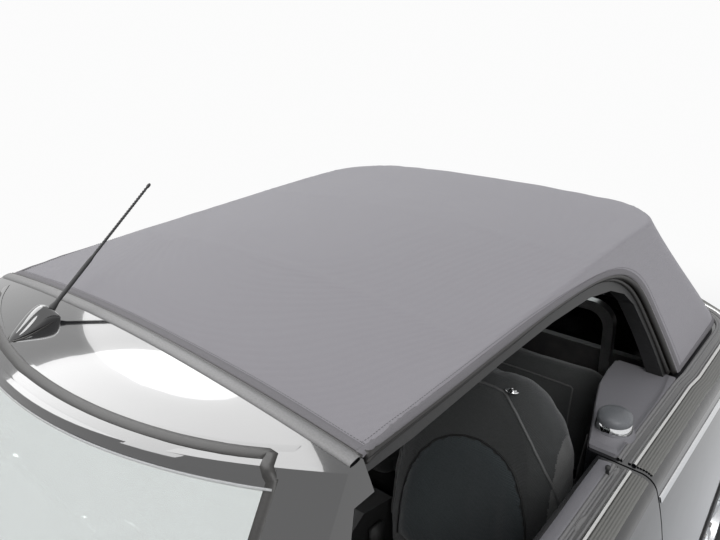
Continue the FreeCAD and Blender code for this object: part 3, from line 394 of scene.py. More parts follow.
BACK_LEVELS = [
    # height, width, depth, centre y, hollow of the front
    (0.455, 0.4, 0.085, 0.508, 0.0),
    (0.48, 0.46, 0.125, 0.514, 0.014),
    (0.56, 0.49, 0.14, 0.536, 0.034),
    (0.7, 0.5, 0.138, 0.57, 0.04),
    (0.82, 0.49, 0.13, 0.602, 0.034),
    (0.92, 0.45, 0.118, 0.63, 0.022),
    (0.985, 0.375, 0.106, 0.648, 0.01),
    (1.03, 0.275, 0.09, 0.661, 0.004),
    (1.056, 0.175, 0.055, 0.668, 0.0),
]
CUSHION_ROWS = [
    # y, width, depth, centre height, rise of the bolsters
    (0.016, 0.4, 0.075, 0.462, 0.0),
    (0.045, 0.47, 0.13, 0.445, 0.004),
    (0.15, 0.49, 0.15, 0.435, 0.016),
    (0.3, 0.495, 0.15, 0.424, 0.024),
    (0.42, 0.49, 0.145, 0.412, 0.024),
    (0.5, 0.46, 0.12, 0.405, 0.012),
    (0.545, 0.4, 0.07, 0.4, 0.0),
]


def cushion_section(x, y, width, depth, height, rise):
    """Upright cushion section across the car."""
    return [Vector((x + a, y, height + b)) for a, b in foam_ring(width, depth, rise)]


def circle(centre, u, v, radius, count):
    """Points evenly round a circle in the plane of u and v."""
    turns = [2 * math.pi * k / count for k in range(count)]
    return [centre + u * (radius * math.cos(a)) + v * (radius * math.sin(a)) for a in turns]


def bead(name, points, radius, mat, closed=False, body="body", lift=0.0, tree=None, sides=8):
    """Round cord sewn or laid along points, pressed onto a surface when a tree is given."""
    count, rings = len(points), []
    near = [tree.find_nearest(p)[:2] if tree else (p, None) for p in points]
    placed = [p + normal * lift if tree else p for p, normal in near]
    for k, p in enumerate(placed):
        before = placed[k - 1] if k or closed else p
        after = placed[(k + 1) % count] if k < count - 1 or closed else p
        along = (after - before).normalized()
        side = along.cross(near[k][1] or Vector((0.13, 0.21, 0.97))).normalized()
        rings.append(circle(p, side, side.cross(along), radius, sides))
    return tube(name, rings, mat, body, closed)


def inset_panel(name, outline, tree, direction, lift, mat, cells=40, ease=0.01):
    """Sewn panel: a padded patch laid over a foam inside an outline seen along direction."""
    low = [min(p[i] for p in outline) for i in (0, 1)]
    high = [max(p[i] for p in outline) for i in (0, 1)]
    verts, index, faces = [], {}, []
    for j in range(cells + 1):
        for i in range(cells + 1):
            a = low[0] + (high[0] - low[0]) * i / cells
            b = low[1] + (high[1] - low[1]) * j / cells
            edge = outline_distance(a, b, outline)
            if edge < -0.001:
                continue
            origin = Vector((a, -0.3, b)) if direction.y else Vector((a, b, 1.2))
            hit, normal, _, _ = tree.ray_cast(origin, direction)
            if hit:
                puff = lift * (1 - math.exp(-max(edge, 0.0) / ease))
                index[i, j] = len(verts)
                verts.append(hit + normal * (puff - 0.0015 if edge < 0.002 else puff))
    for j in range(cells):
        for i in range(cells):
            keys = [(i, j), (i + 1, j), (i + 1, j + 1), (i, j + 1)]
            if all(key in index for key in keys):
                faces.append([index[key] for key in keys])
    made = piece(name, verts, faces, mat)
    subdivide(made)
    return made


def outline_distance(a, b, outline):
    """Distance inside a closed outline, negative outside it."""
    inside, near = False, 9.0
    for (x0, y0), (x1, y1) in zip(outline, outline[1:] + outline[:1]):
        if (y0 > b) != (y1 > b) and a < (x1 - x0) * (b - y0) / (y1 - y0) + x0:
            inside = not inside
        length = max((x1 - x0) ** 2 + (y1 - y0) ** 2, 1e-12)
        t = max(0.0, min(1.0, ((a - x0) * (x1 - x0) + (b - y0) * (y1 - y0)) / length))
        near = min(near, math.hypot(a - x0 - t * (x1 - x0), b - y0 - t * (y1 - y0)))
    return near if inside else -near


def bar(name, low, high, mat, radius=0.006, body="body"):
    """Pressed or moulded block with rounded edges between two corners."""
    bm = bmesh.new()
    bmesh.ops.create_cube(bm, size=1.0)
    for v in bm.verts:
        v.co = Vector([low[i] if v.co[i] < 0 else high[i] for i in range(3)])
    bmesh.ops.bevel(bm, geom=bm.edges, offset=radius, segments=3, affect="EDGES")
    bm.verts.index_update()
    made = piece(name, [v.co for v in bm.verts], [[v.index for v in f.verts] for f in bm.faces], mat, body)
    bm.free()
    return made


ARCH = [
    # distance from the seat's middle, height up one side of the sewn arch
    (0.19, 0.545), (0.19, 0.64), (0.184, 0.7), (0.172, 0.76), (0.15, 0.812), (0.118, 0.85),
    (0.08, 0.873), (0.04, 0.886), (0.0, 0.89),
]
for label, x in (("left", SEAT_X), ("right", -SEAT_X)):
    for end, shift in (("in", -0.185), ("out", 0.185)):
        bar(f"seat_runner_{label}_{end}", (x + shift - 0.022, 0.07, 0.2215),
            (x + shift + 0.022, 0.51, 0.262), under)
        bar(f"seat_side_{label}_{end}", (x + shift * 1.22 - 0.012, 0.11, 0.255),
            (x + shift * 1.22 + 0.012, 0.5, 0.395), grained, 0.01)
    bar(f"seat_pan_{label}", (x - 0.215, 0.08, 0.262), (x + 0.215, 0.5, 0.372), under, 0.012)
    back = pillow(f"seat_back_{label}", [back_section(x, *row) for row in BACK_LEVELS], seat_cloth)
    squab = pillow(f"seat_cushion_{label}", [cushion_section(x, *row) for row in CUSHION_ROWS], seat_cloth)
    # Faces out on the side bolsters get the lighter copy of the cloth, as painted light on the backrest's
    # sides.
    back.data.materials.append(bolster_painted_light)
    for polygon in back.data.polygons:
        if abs(polygon.center.x - x) > 0.206 + 0.02 * min(1.0, (0.9 - polygon.center.z) / 0.3):
            polygon.material_index = 1
    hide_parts(f"front_seat_{label}")
    back_tree, squab_tree = tree_of(back), tree_of(squab)

    arch = [(x + a, z) for a, z in ARCH] + [(x - a, z) for a, z in ARCH[-2::-1]]
    inset_panel(f"seat_back_insert_{label}", arch, back_tree, AFT, 0.019, seat_insert, 48, 0.02)
    seam = [p for p in (cast(back_tree, (a, -0.3, b), AFT) for a, b in arch) if p]
    bead(f"seat_back_seam_{label}", spread(seam, 90), 0.003, seat_seam, tree=back_tree, lift=0.0008)
    pad = [(x - 0.15, 0.06), (x + 0.15, 0.06), (x + 0.16, 0.47), (x - 0.16, 0.47)]
    inset_panel(f"seat_cushion_insert_{label}", pad, squab_tree, DOWN, 0.007, seat_insert)
    flat = [cast(squab_tree, (a, b, 1.2), DOWN) for a, b in pad + pad[:1]]
    bead(f"seat_cushion_seam_{label}", spread(flat, 110), 0.0028, piping_mat, tree=squab_tree, lift=0.001)

    welt = []
    for k in range(121):
        angle = math.pi * (k / 120)
        a = math.copysign(abs(math.cos(angle)) ** 0.55, math.cos(angle)) * 0.238
        z = 0.56 + 0.47 * math.sin(angle) ** 0.62
        welt.append(cast(back_tree, (x + a * (1.0 - 0.5 * max(0.0, (z - 0.82) / 0.2) ** 1.3), -0.2, z), AFT))
    bead(f"seat_back_welt_{label}", spread([p for p in welt if p], 120), 0.0035, piping_mat, tree=back_tree,
         lift=0.0015)
    for end, side in (("in", -0.062), ("out", 0.062)):
        foot = cast(back_tree, (x + side, 0.622, 1.2), DOWN) or Vector((x + side, 0.66, 1.05))
        for step, (radius, size) in enumerate(((0.015, 0.0042), (0.0085, 0.0045))):
            ring = circle(foot + BACK_LEAN * (0.002 + 0.002 * step), EAST, BACK_FACE, radius, 24)
            bead(f"post_bezel_{label}_{end}_{step}", ring, size, bright, True, sides=10)

# Hems and seams: the cloth's edges are bound with tape and sewn down with two rows of
# stitches, and round rubber seals run under its side edges.
def lay_strip(name, points, profile, tree, mat, closed=False, body="body"):
    """Flat or ribbed strip pressed onto a surface: profile pairs are across and lift."""
    count, verts, faces = len(points), [], []
    near = [tree.find_nearest(p) for p in points]
    for k, (place, normal, _, _) in enumerate(near):
        before = near[k - 1][0] if k or closed else place
        after = near[(k + 1) % count][0] if k < count - 1 or closed else place
        side = normal.cross(after - before).normalized()
        for across, lift in profile:
            on, out, _, _ = tree.find_nearest(place + side * across)
            verts.append(on + out * lift)
    return piece(name, verts, grid(count, len(profile), closed), mat, body)


def stitches(name, points, tree, pitch, mat, body="body"):
    """Row of sewn stitches: short rounded threads along points on a surface."""
    verts, faces = [], []
    length = sum((b - a).length for a, b in zip(points, points[1:]))
    line = spread(points, max(4, int(length / pitch)))
    for here, there in zip(line, line[1:]):
        a, normal, _, _ = tree.find_nearest(here.lerp(there, 0.18))
        b = tree.find_nearest(here.lerp(there, 0.82))[0]
        side = (b - a).cross(normal).normalized() * 0.00055
        base = len(verts)
        for p, lift in ((a, 0.0002), (a.lerp(b, 0.25), 0.0011), (a.lerp(b, 0.75), 0.0011), (b, 0.0002)):
            verts += [p - side, p + normal * lift, p + side]
        faces += [tuple(base + m for m in face) for face in grid(4, 3)]
    return piece(name, verts, faces, mat, body)


HEM = [(-0.0085, 0.0002), (-0.0075, 0.0016), (-0.002, 0.0022), (0.005, 0.0022), (0.0072, 0.0016),
       (0.008, 0.0002)]
hem_tape = weave(finish("hem_tape", [(0.16, 0.152, 0.157), (0.19, 0.18, 0.186)], 500.0, (0.75, 0.85), 0.0),
                 0.0015, 0.4)
thread = finish("sewing_thread", [(0.1, 0.097, 0.1), (0.13, 0.126, 0.13)], 900.0, (0.6, 0.75), 0.1)
black_rubber = finish("black_seal_rubber", [(0.012, 0.011, 0.01), (0.022, 0.02, 0.018)], 300.0, (0.35, 0.5),
                      0.15)
grey_rubber = finish("grey_seal_rubber", [(0.17, 0.165, 0.16), (0.22, 0.215, 0.21)], 300.0, (0.4, 0.55), 0.15)
for label, step in SIDES:
    first = 0 if step > 0 else TOP_ACROSS
    lay_strip(f"hem_{label}", spread([row[first + step] for row in top_rows], 220), HEM, TOP_SKIN, hem_tape)
    stitches(f"hem_stitches_{label}", [row[first].lerp(row[first + step], 0.55) for row in top_rows],
             TOP_SKIN, 0.006, thread)
    stitches(f"hem_inner_stitches_{label}", [row[first + 3 * step] for row in top_rows], TOP_SKIN, 0.006,
             thread)
    for name, rows, inward, down, size in (("side_seal", top_rows[1:-1], 0.009, 0.006, 0.0085),
                                           ("rail_seal", top_rows[1:-3], 0.02, 0.021, 0.0062)):
        line = []
        for row in rows:
            outward = (row[first] - row[first + step]).normalized()
            line.append(row[first] - EAST * (inward * step) + outward * down)
        bead(f"{name}_{label}", spread(line, 160), size, black_rubber)
lay_strip("hem_front", top_rows[1][2:-2], HEM, TOP_SKIN, hem_tape)
stitches("hem_front_stitches", top_rows[2][2:-2], TOP_SKIN, 0.006, thread)
lay_strip("belt_hem", top_rows[-3][1:-1], HEM, TOP_SKIN, hem_tape)

# Rear window: toughened glass in a black bonded border, let into the cloth. The border
# is laid on the outermost of cloth and glass, as seen from straight behind.
def rounded(outline, radius, steps):
    """Closed outline of x and z pairs with its corners rounded."""
    corners = [Vector((x, 0, z)) for x, z in outline]
    line = []
    for k, corner in enumerate(corners):
        start = corner + (corners[k - 1] - corner).normalized() * radius
        end = corner + (corners[(k + 1) % len(corners)] - corner).normalized() * radius
        shares = [t / steps for t in range(steps + 1)]
        line += [start.lerp(corner, share).lerp(corner.lerp(end, share), share) for share in shares]
    return line + line[:1]


WINDOW_CORNERS = [(-WINDOW_HALF_LOW, WINDOW_LOW), (WINDOW_HALF_LOW, WINDOW_LOW),
                  (WINDOW_HALF_HIGH, WINDOW_HIGH), (-WINDOW_HALF_HIGH, WINDOW_HIGH)]
GLASS_BORDER = [(-0.018, 0.0002), (-0.017, 0.003), (-0.011, 0.0042), (0.004, 0.0042), (0.013, 0.003),
                (0.022, 0.0004), (0.024, -0.004)]
back_points = []
for j in range(41):
    for k in range(81):
        x, z = -0.48 + 0.96 * k / 80, 1.035 + 0.305 * j / 40
        found = [p for p in (cast(tree, (x, 2.2, z), FORE) for tree in (TOP_SKIN, SHELL)) if p]
        back_points.append(max(found, key=lambda p: p.y, default=Vector((x, 1.3, z))))
WINDOW_SKIN = BVHTree.FromPolygons(back_points, [(a, d, c, b) for a, b, c, d in grid(41, 81)])
window_line = spread(rounded(WINDOW_CORNERS, 0.045, 6), 200)[:-1]
on_top = [cast(WINDOW_SKIN, (p.x, 2.2, p.z), FORE) for p in window_line]
lay_strip("rear_window_border", on_top, GLASS_BORDER, WINDOW_SKIN, black_rubber, True)
stitches("rear_window_stitches", on_top + on_top[:1], WINDOW_SKIN, 0.006, thread)

# Seams down the rear corners, where the quarter panels of cloth meet the back panel: a
# folded edge of the same canvas with a row of stitches beside it.
SEAM = [(-0.004, 0.0002), (-0.003, 0.0014), (0.0, 0.002), (0.003, 0.0014), (0.004, 0.0002)]
for label, sign in SIDES:
    aims = [Vector((sign * (0.505 + 0.135 * share), 1.195 + 0.275 * share, 1.352 - 0.355 * share))
            for share in (k / 24 for k in range(25))]
    seam = [TOP_SKIN.find_nearest(aim)[0] for aim in aims]
    lay_strip(f"quarter_seam_{label}", spread(seam, 80), SEAM, TOP_SKIN, canvas)
    stitches(f"quarter_stitches_{label}", [p + Vector((0, 0.006, 0)) for p in seam], TOP_SKIN, 0.006, thread)

# Windscreen: laminated glass bonded into the black frame, with a moulded rubber gasket
# round its edge and a light bead of trim where the gasket meets the frame.
screen_glass = finish("laminated_glass", [(0.86, 0.9, 0.89), (0.9, 0.94, 0.93)], 2.5, (0.01, 0.02), 0.0,
                      Transmission_Weight=1.0, IOR=1.5, Metallic=0.62)
dress(screen_glass, "windscreen")
SCREEN_SKIN = tree_of("windscreen", "windscreen_frame", "scuttle")
GLASS_LINE = [(-0.64, 0.992), (-0.497, 1.352), (0.497, 1.352), (0.64, 0.992)]
gasket_points = [cast(SCREEN_SKIN, (p.x * 0.993, -1.6, p.z - 0.002), AFT)
                 for p in spread(rounded(GLASS_LINE, 0.03, 6), 260)[:-1]]
GASKET = [(-0.016, 0.0002), (-0.015, 0.0016), (-0.004, 0.0026), (0.003, 0.0026), (0.0048, 0.0006)]
lay_strip("windscreen_gasket", [p for p in gasket_points if p], GASKET, SCREEN_SKIN, black_rubber, True)
seal_light = finish("light_seal_bead", [(0.42, 0.42, 0.41), (0.5, 0.5, 0.49)], 300.0, (0.25, 0.35), 0.05)
GLASS_TOP, PRINTED_EDGE = 1.352, 0.024
band = []
for k in range(141):
    x = -0.492 + 0.984 * k / 140
    for m in (0.0, 0.33, 0.66, 1.0):
        eye = Vector((x * (1 + 0.02 * m), -1.6, GLASS_TOP - PRINTED_EDGE * m - 0.006 * (x / 0.5) ** 2 * m))
        band.append(SCREEN_SKIN.ray_cast(eye, AFT)[:2])
piece("windscreen_printed_edge", [place + normal * 0.0008 for place, normal in band], grid(141, 4), gloss)
bead("windscreen_top_bead", spread([place for place, _ in band[3::4]], 140), 0.0021, seal_light,
     tree=SCREEN_SKIN, lift=0.002)

# Header seal: a black extruded rubber with a light flocked lip, laid along the header
# where the front hem of the top closes down on it.
HEADER_SEAL = [(-0.012, 0.0003), (-0.01, 0.0035), (-0.003, 0.0045), (0.004, 0.004), (0.01, 0.003),
               (0.012, 0.0003)]
header_seal = [cast(SCREEN_SKIN, (p.x, p.y - 0.014, 1.7), DOWN) for p in spread(top_rows[0], 150)]
header_seal = [p for p in header_seal if p]
lay_strip("header_seal", header_seal, HEADER_SEAL, SCREEN_SKIN, grey_rubber)
bead("header_seal_lip", [p + Vector((0, 0.012, 0)) for p in header_seal], 0.004, black_rubber,
     tree=SCREEN_SKIN, lift=0.002)

# Pillar seals: soft black rubber in a light carrier, pushed onto the rear edge of each
# pillar, where the side glass shuts against it.
PILLAR_SKIN = tree_of("windscreen_frame")
for label, sign in SIDES:
    run = []
    for k in range(41):
        share = k / 40
        x, z = 0.7 - 0.15 * share, 1.0 + 0.335 * share
        near_by = Vector((sign * (x - 0.01), -0.3 + 0.2 * share, z))
        run.append(cast(PILLAR_SKIN, (sign * x, 0.6, z), FORE) or PILLAR_SKIN.find_nearest(near_by)[0])
    run = spread(run, 60)
    bead(f"pillar_seal_{label}", run, 0.0075, black_rubber)
    bead(f"pillar_seal_lip_{label}", [p + Vector((sign * 0.008, 0.003, 0)) for p in run], 0.0038, seal_light)

# Belt strips: along the top of each door and on round the foot of the closed top, a grey
# extruded seal, a satin metal bead and a ribbed moulding beside it.
rib_plastic = finish("ribbed_strip", [(0.15, 0.147, 0.132), (0.185, 0.182, 0.166)], 700.0, (0.4, 0.5), 0.1)
satin = finish("satin_bead", [(0.52, 0.52, 0.51), (0.62, 0.62, 0.61)], 400.0, (0.18, 0.26), 0.02,
               Metallic=1.0)
SEAL = [(-0.039, -0.001), (-0.0385, 0.0035), (-0.037, 0.005), (-0.0335, 0.005), (-0.032, 0.0022),
        (-0.03, 0.0022), (-0.0285, 0.0045), (-0.0265, 0.0045), (-0.025, -0.0005), (-0.014, -0.001),
        (-0.0125, 0.0035), (-0.0075, 0.0035), (-0.0065, 0.0003)]
RIBS = [(0.0055, 0.0002)]
for k in range(6):
    RIBS += [(0.0065 + 0.0064 * k, 0.003), (0.0098 + 0.0064 * k, 0.003), (0.0112 + 0.0064 * k, 0.0006)]
RIBS += [(0.0455, 0.0002)]
BELT_BEAD = [(-0.006, 0.0003), (-0.0052, 0.004), (-0.0025, 0.0062), (0.0015, 0.0062), (0.0042, 0.004),
             (0.005, 0.0003)]


def belt_line(label, points, tree, body):
    """Seal, bead and ribs side by side along one run of the belt, the outside on the left."""
    for name, profile, mat in (("seal", SEAL, grey_rubber), ("ribs", RIBS, rib_plastic),
                               ("bead", BELT_BEAD, satin)):
        lay_strip(f"belt_{name}_{label}", points, profile, tree, mat, body=body)


BELT_X = 0.744
for label, sign in SIDES:
    door_tree = tree_of(f"door_{label}")
    run = [cast(door_tree, (sign * (BELT_X - 0.01 * max(0.0, -y)), y, 1.3), DOWN)
           for y in (0.574 - 1.11 * k / 90 for k in range(91))]
    run = [p for p in run if p and p.z > 0.9]
    belt_line(f"door_{label}", spread(run[::sign], 120), door_tree, f"door_{label}")

REST_SKIN = tree_of("side_left", "side_right", "tail_panel", "belt_trim")
foot = top_rows[-1] if top_rows[-1][0].x > 0 else top_rows[-1][::-1]
around = [Vector((BELT_X, 0.6 + 0.022 * k, 1.0)) for k in range(19)]
for before, p, after in zip(foot[1:], foot[2:-2], foot[3:]):
    out = (after - before).cross(UP).normalized()
    if out.dot(Vector((p.x, p.y - 1.0, 0))) < 0:
        out = -out
    around.append(p + out * 0.046)
around += [Vector((-p.x, p.y, p.z)) for p in around[:19][::-1]]
settled = [cast(REST_SKIN, (p.x, p.y, 1.25), DOWN) for p in spread(around, 420)]
settled = [p for p in settled if p and p.z > 0.88]
belt_line("body", spread(settled[::-1], 420), REST_SKIN, "body")

# Side trim: a grey moulded shelf behind each door with a foot flared up out of it, a chrome
# sleeve and a domed cap over the belt's upper mounting. A moulded lip in front closes the
# shelf down to the door, and the lock's pin stands on the door's own trim.
cap_grey = finish("domed_cap_grey", [(0.13, 0.135, 0.14), (0.17, 0.175, 0.18)], 500.0, (0.35, 0.45), 0.15)
KNOB_X, KNOB_Y, SHELF_Z = 0.665, 0.682, 0.9885
SHELF_EDGE = [
    # y, x of the shelf's inner edge, x of its outer edge
    (0.604, 0.641, 0.704), (0.64, 0.629, 0.704), (0.7, 0.61, 0.704), (0.78, 0.584, 0.704),
    (0.862, 0.56, 0.703), (0.93, 0.551, 0.7), (1.0, 0.548, 0.69),
]


def turned(name, profile, centre, axis, mat, body="body", sides=48):
    """Turned piece: radius and height pairs swept round an axis through centre."""
    centre, axis = Vector(centre), axis.normalized()
    u = axis.orthogonal().normalized()
    rings = [circle(centre + axis * height, u, axis.cross(u), radius, sides) for radius, height in profile]
    return tube(name, rings, mat, body)


SHELF_ROWS, SHELF_CELLS = 64, 34
ROLLED_EDGE = [
    # drop and tuck of the shelf's rolled inner edge, lowest first
    (0.05, 0.004), (0.03, 0.004), (0.014, 0.004), (0.006, 0.003), (0.002, 0.0015),
]
for label, sign in SIDES:
    verts = []
    for j in range(SHELF_ROWS + 1):
        y = 0.604 + 0.396 * j / SHELF_ROWS
        for (y0, a0, b0), (y1, a1, b1) in zip(SHELF_EDGE, SHELF_EDGE[1:]):
            if y <= y1 + 1e-9:
                t = (y - y0) / (y1 - y0)
                inner, outer = a0 + (a1 - a0) * t, b0 + (b1 - b0) * t
                break
        for i in range(-5, SHELF_CELLS + 1):
            across = inner + (outer - inner) * max(i, 0) / SHELF_CELLS
            drop, tuck = ROLLED_EDGE[i + 5] if i < 0 else (0.0, 0.0)
            near = math.hypot(across - KNOB_X, y - KNOB_Y)
            flare = 0.0135 * math.exp(-max(0.0, near - 0.036) / 0.011)
            rim = 0.004 * math.exp(-(outer - across) / 0.006)
            z = SHELF_Z + flare + rim - drop - 0.006 * max(0.0, 1 - (y - 0.604) / 0.03)
            verts.append(Vector((sign * (across - tuck), y, z)))
    shelf = piece(f"trim_shelf_{label}", verts, grid(SHELF_ROWS + 1, SHELF_CELLS + 6), trim_grey)
    centre, pin_at = (sign * KNOB_X, KNOB_Y, 0), (sign * 0.709, 0.537, 0)
    turned(f"belt_sleeve_{label}", [(0.0425, 0.996), (0.043, 0.999), (0.0415, 1.008), (0.0395, 1.017),
                                    (0.0385, 1.018)], centre, UP, bright)
    turned(f"belt_cap_{label}", [(0.0375, 1.012), (0.0398, 1.0175), (0.0402, 1.02), (0.0398, 1.027),
                                 (0.038, 1.0325), (0.0345, 1.036), (0.027, 1.039), (0.015, 1.0408),
                                 (0.001, 1.0413)], centre, UP, cap_grey)
    turned(f"lock_ferrule_{label}", [(0.0085, 0.97), (0.0088, 0.9745), (0.007, 0.976), (0.0045, 0.9762)],
           pin_at, UP, bright, f"door_{label}", 24)
    turned(f"lock_pin_{label}", [(0.004, 0.972), (0.004, 0.988), (0.0056, 0.9895), (0.0058, 0.996),
                                 (0.004, 0.9985), (0.0004, 0.999)], pin_at, UP, grained, f"door_{label}", 24)

# Door trim: each door's inner top is a grey grained moulding, clipped over the steel and
# turned down on the cabin's side.
TRIM_LINE = [
    # distance from the car's middle, drop below the door's top
    (0.708, 0.001), (0.7075, -0.003), (0.7, -0.0036), (0.688, -0.0032), (0.676, -0.001), (0.669, 0.004),
    (0.6655, 0.012), (0.6645, 0.03), (0.6645, 0.09), (0.667, 0.093),
]
for label, sign in SIDES:
    tree = tree_of(f"door_{label}")
    verts = []
    for j in range(71):
        y = 0.574 - 1.06 * j / 70
        top = cast(tree, (sign * 0.703, y, 1.3), DOWN)
        height = top.z if top else 0.96
        verts += [Vector((sign * across, y, height - drop)) for across, drop in TRIM_LINE]
    made = piece(f"door_top_trim_{label}", verts, grid(71, len(TRIM_LINE)), trim_grey, f"door_{label}")

# Headlamps: a chromed bowl and a projector behind a clear moulded cover, held in the bonnet
# by a bright ring, with a small amber turn lamp inside the bowl.
def patch(name, centre, axis, radius, tree, lift, mat, body="body", rings=10, spokes=64):
    """Round cover laid on a surface by rays along the axis. Gives the piece and its edge."""
    axis = axis.normalized()
    u = axis.orthogonal().normalized()
    flat = [Vector(centre)]
    for j in range(1, rings + 1):
        flat += circle(flat[0], u, axis.cross(u), radius * j / rings, spokes)
    verts = [(cast(tree, p + axis * 0.35, -axis) or p) + axis * lift for p in flat]
    faces = [(0, 1 + k, 1 + (k + 1) % spokes) for k in range(spokes)]
    faces += [(1 + a, 1 + d, 1 + c, 1 + b) for a, b, c, d in grid(rings, spokes, ring=True)]
    return piece(name, verts, faces, mat, body), verts[-spokes:]


clear_cover = finish("clear_lamp_cover", [(0.92, 0.93, 0.94), (0.96, 0.97, 0.97)], 4.0, (0.01, 0.02), 0.0,
                     Transmission_Weight=1.0, IOR=1.35)
reflector = finish("lamp_reflector", [(0.72, 0.73, 0.74), (0.82, 0.83, 0.84)], 60.0, (0.06, 0.12), 0.03,
                   Metallic=1.0)
amber = finish("amber_lens", [(0.75, 0.22, 0.01), (0.85, 0.28, 0.02)], 90.0, (0.1, 0.15), 0.05,
               Coat_Weight=0.5)
LAMP_SKIN = tree_of("headlamps")
BOWL = [
    # radius and depth behind the cover, below its edge
    (0.096, 0.052), (0.086, 0.066), (0.07, 0.078), (0.052, 0.086), (0.04, 0.089),
]
for label, sign in SIDES:
    axis = Vector((sign * 0.22, -1.0, 0.42)).normalized()
    centre = Vector((sign * 0.592, -1.69, 0.722))
    cover, edge = patch(f"lamp_cover_{label}", centre, axis, 0.1035, LAMP_SKIN, 0.0006, clear_cover, "bonnet")
    front = cast(LAMP_SKIN, centre + axis * 0.35, -axis)
    bead(f"lamp_ring_{label}", edge, 0.0042, bright, True, "bonnet")
    verts = []
    for p in edge:
        out = p - front
        out = (out - axis * out.dot(axis)).normalized()
        verts += [p - axis * 0.003, p - axis * 0.012 - out * 0.003]
        verts += [front + out * r - axis * d for r, d in BOWL]
    bowl = piece(f"lamp_bowl_{label}", verts, grid(len(edge), 7, True), reflector, "bonnet")
    if sign > 0:
        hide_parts("headlamps")
    seat = front - axis * 0.09
    turned(f"lamp_shroud_{label}", [(0.044, 0.0), (0.045, 0.022), (0.042, 0.028), (0.037, 0.026),
                                    (0.036, 0.01)], seat, axis, gloss, "bonnet")
    turned(f"lamp_projector_{label}", [(0.0365, 0.014), (0.036, 0.022), (0.031, 0.032), (0.022, 0.04),
                                       (0.011, 0.0445), (0.0004, 0.0455)], seat, axis, glass, "bonnet")
    turned(f"lamp_turn_{label}", [(0.013, 0.0), (0.013, 0.02), (0.011, 0.027), (0.006, 0.031),
                                  (0.0004, 0.032)],
                                  seat + Vector((sign * -0.058, 0.0, -0.03)) + axis * 0.012, axis, amber,
                                  "bonnet", 24)

# Fog lamps: small round lamps, each a silvered bowl behind a clear lens in a chromed ring,
# pushed into the bumper's holes.
BUMPER_SKIN = tree_of("front_bumper")
for label, sign in SIDES:
    around = circle(Vector((0.61, -2.2, 0.39)), EAST, UP, 0.0545, 64)
    around = [cast(BUMPER_SKIN, (sign * p.x, p.y, p.z), AFT) for p in around]
    around = [p for p in around if p]
    bead(f"fog_ring_{label}", around, 0.0045, bright, True)
    axis = Vector((sign * 0.42, -0.9, 0.05)).normalized()
    centre = (sign * 0.61, (sum(around, Vector()) / len(around)).y + 0.006, 0.39)
    turned(f"fog_lens_{label}", [(0.0495, -0.012), (0.049, -0.006), (0.038, 0.0), (0.02, 0.0032),
                                 (0.0004, 0.004)], centre, axis, clear_cover)
    turned(f"fog_bowl_{label}", [(0.05, -0.01), (0.05, -0.016), (0.04, -0.034), (0.022, -0.044),
                                 (0.0004, -0.046)], centre, axis, reflector)

# Tail lamps: red moulded lens with a bright surround, a clear reversing lens and an amber
# turn lens set into it.
TAIL_SKIN = tree_of("tail_lamps")
TAIL_LINE = [(0.541, 0.696), (0.634, 0.705), (0.654, 0.8), (0.634, 0.873), (0.541, 0.866)]
for label, sign in SIDES:
    line = spread(rounded(TAIL_LINE, 0.024, 5), 120)[:-1]
    rim = [cast(TAIL_SKIN, (sign * p.x, 2.3, p.z), FORE) for p in line]
    bead(f"tail_surround_{label}", [p for p in rim if p], 0.0042, bright, True)
    for name, x, y, z, mat in (("reversing", 0.59, 1.72, 0.735, clear_cover),
                               ("turn", 0.592, 1.7, 0.835, amber)):
        patch(f"{name}_lens_{label}", (sign * x, y, z), Vector((sign * 0.25, 1.0, 0.1)), 0.024, TAIL_SKIN,
              0.0012, mat)
    for k in range(5):
        run = [cast(TAIL_SKIN, (sign * (0.552 + 0.009 * m), 2.3, 0.76 + 0.0115 * k), FORE) for m in range(11)]
        bead(f"tail_rib_{label}_{k}", [p for p in run if p], 0.0022, lamp_red)

# Door fittings: a chromed grip clipped over each handle, and silvered glass held in each
# mirror's moulded shell. They ride with the doors.
mirror_glass = finish("mirror_silver", [(0.75, 0.77, 0.78), (0.82, 0.84, 0.85)], 2.0, (0.02, 0.03), 0.0,
                      Metallic=1.0)
GRIP = [(-0.0148, -0.006), (-0.0146, 0.0004), (-0.012, 0.0012), (0, 0.0016), (0.012, 0.0012),
        (0.0146, 0.0004), (0.0148, -0.006)]
MIRROR = [(0.816, 1.002), (0.94, 1.008), (0.9445, 1.08), (0.93, 1.088), (0.846, 1.096), (0.838, 1.086)]
for label, sign in SIDES:
    tree = tree_of(f"door_{label}")
    run = [cast(tree, (sign * 1.2, 0.398 + 0.134 * k / 40, 0.807), -EAST * sign) for k in range(41)]
    verts = [p + Vector((sign * out, 0, up)) for p in run for up, out in GRIP]
    faces = grid(41, 7) + [tuple(range(7)), tuple(range(280, 287))]
    piece(f"handle_grip_{label}", verts, faces, bright, f"door_{label}")
    verts = [Vector((sign * (0.884 + (x - 0.884) * scale), y, 1.045 + (z - 1.045) * scale))
             for scale, y in ((1.0, -0.4205), (0.97, -0.4186)) for x, z in MIRROR]
    faces = grid(2, 6, ring=True) + [tuple(range(6, 12))]
    piece(f"mirror_glass_{label}", verts, faces, mirror_glass, f"door_{label}", smooth=False)

# Tail pipes: chromed steel sleeves with rolled lips, pressed over the two ends of the
# exhaust.
for label, sign in SIDES:
    turned(f"pipe_sleeve_{label}", [(0.0343, -0.07), (0.0362, -0.066), (0.0362, -0.006), (0.035, -0.001),
                                    (0.0325, -0.0006), (0.0295, -0.003), (0.0288, -0.06), (0.006, -0.0605)],
           (sign * 0.075, 1.862, 0.262), AFT, bright)

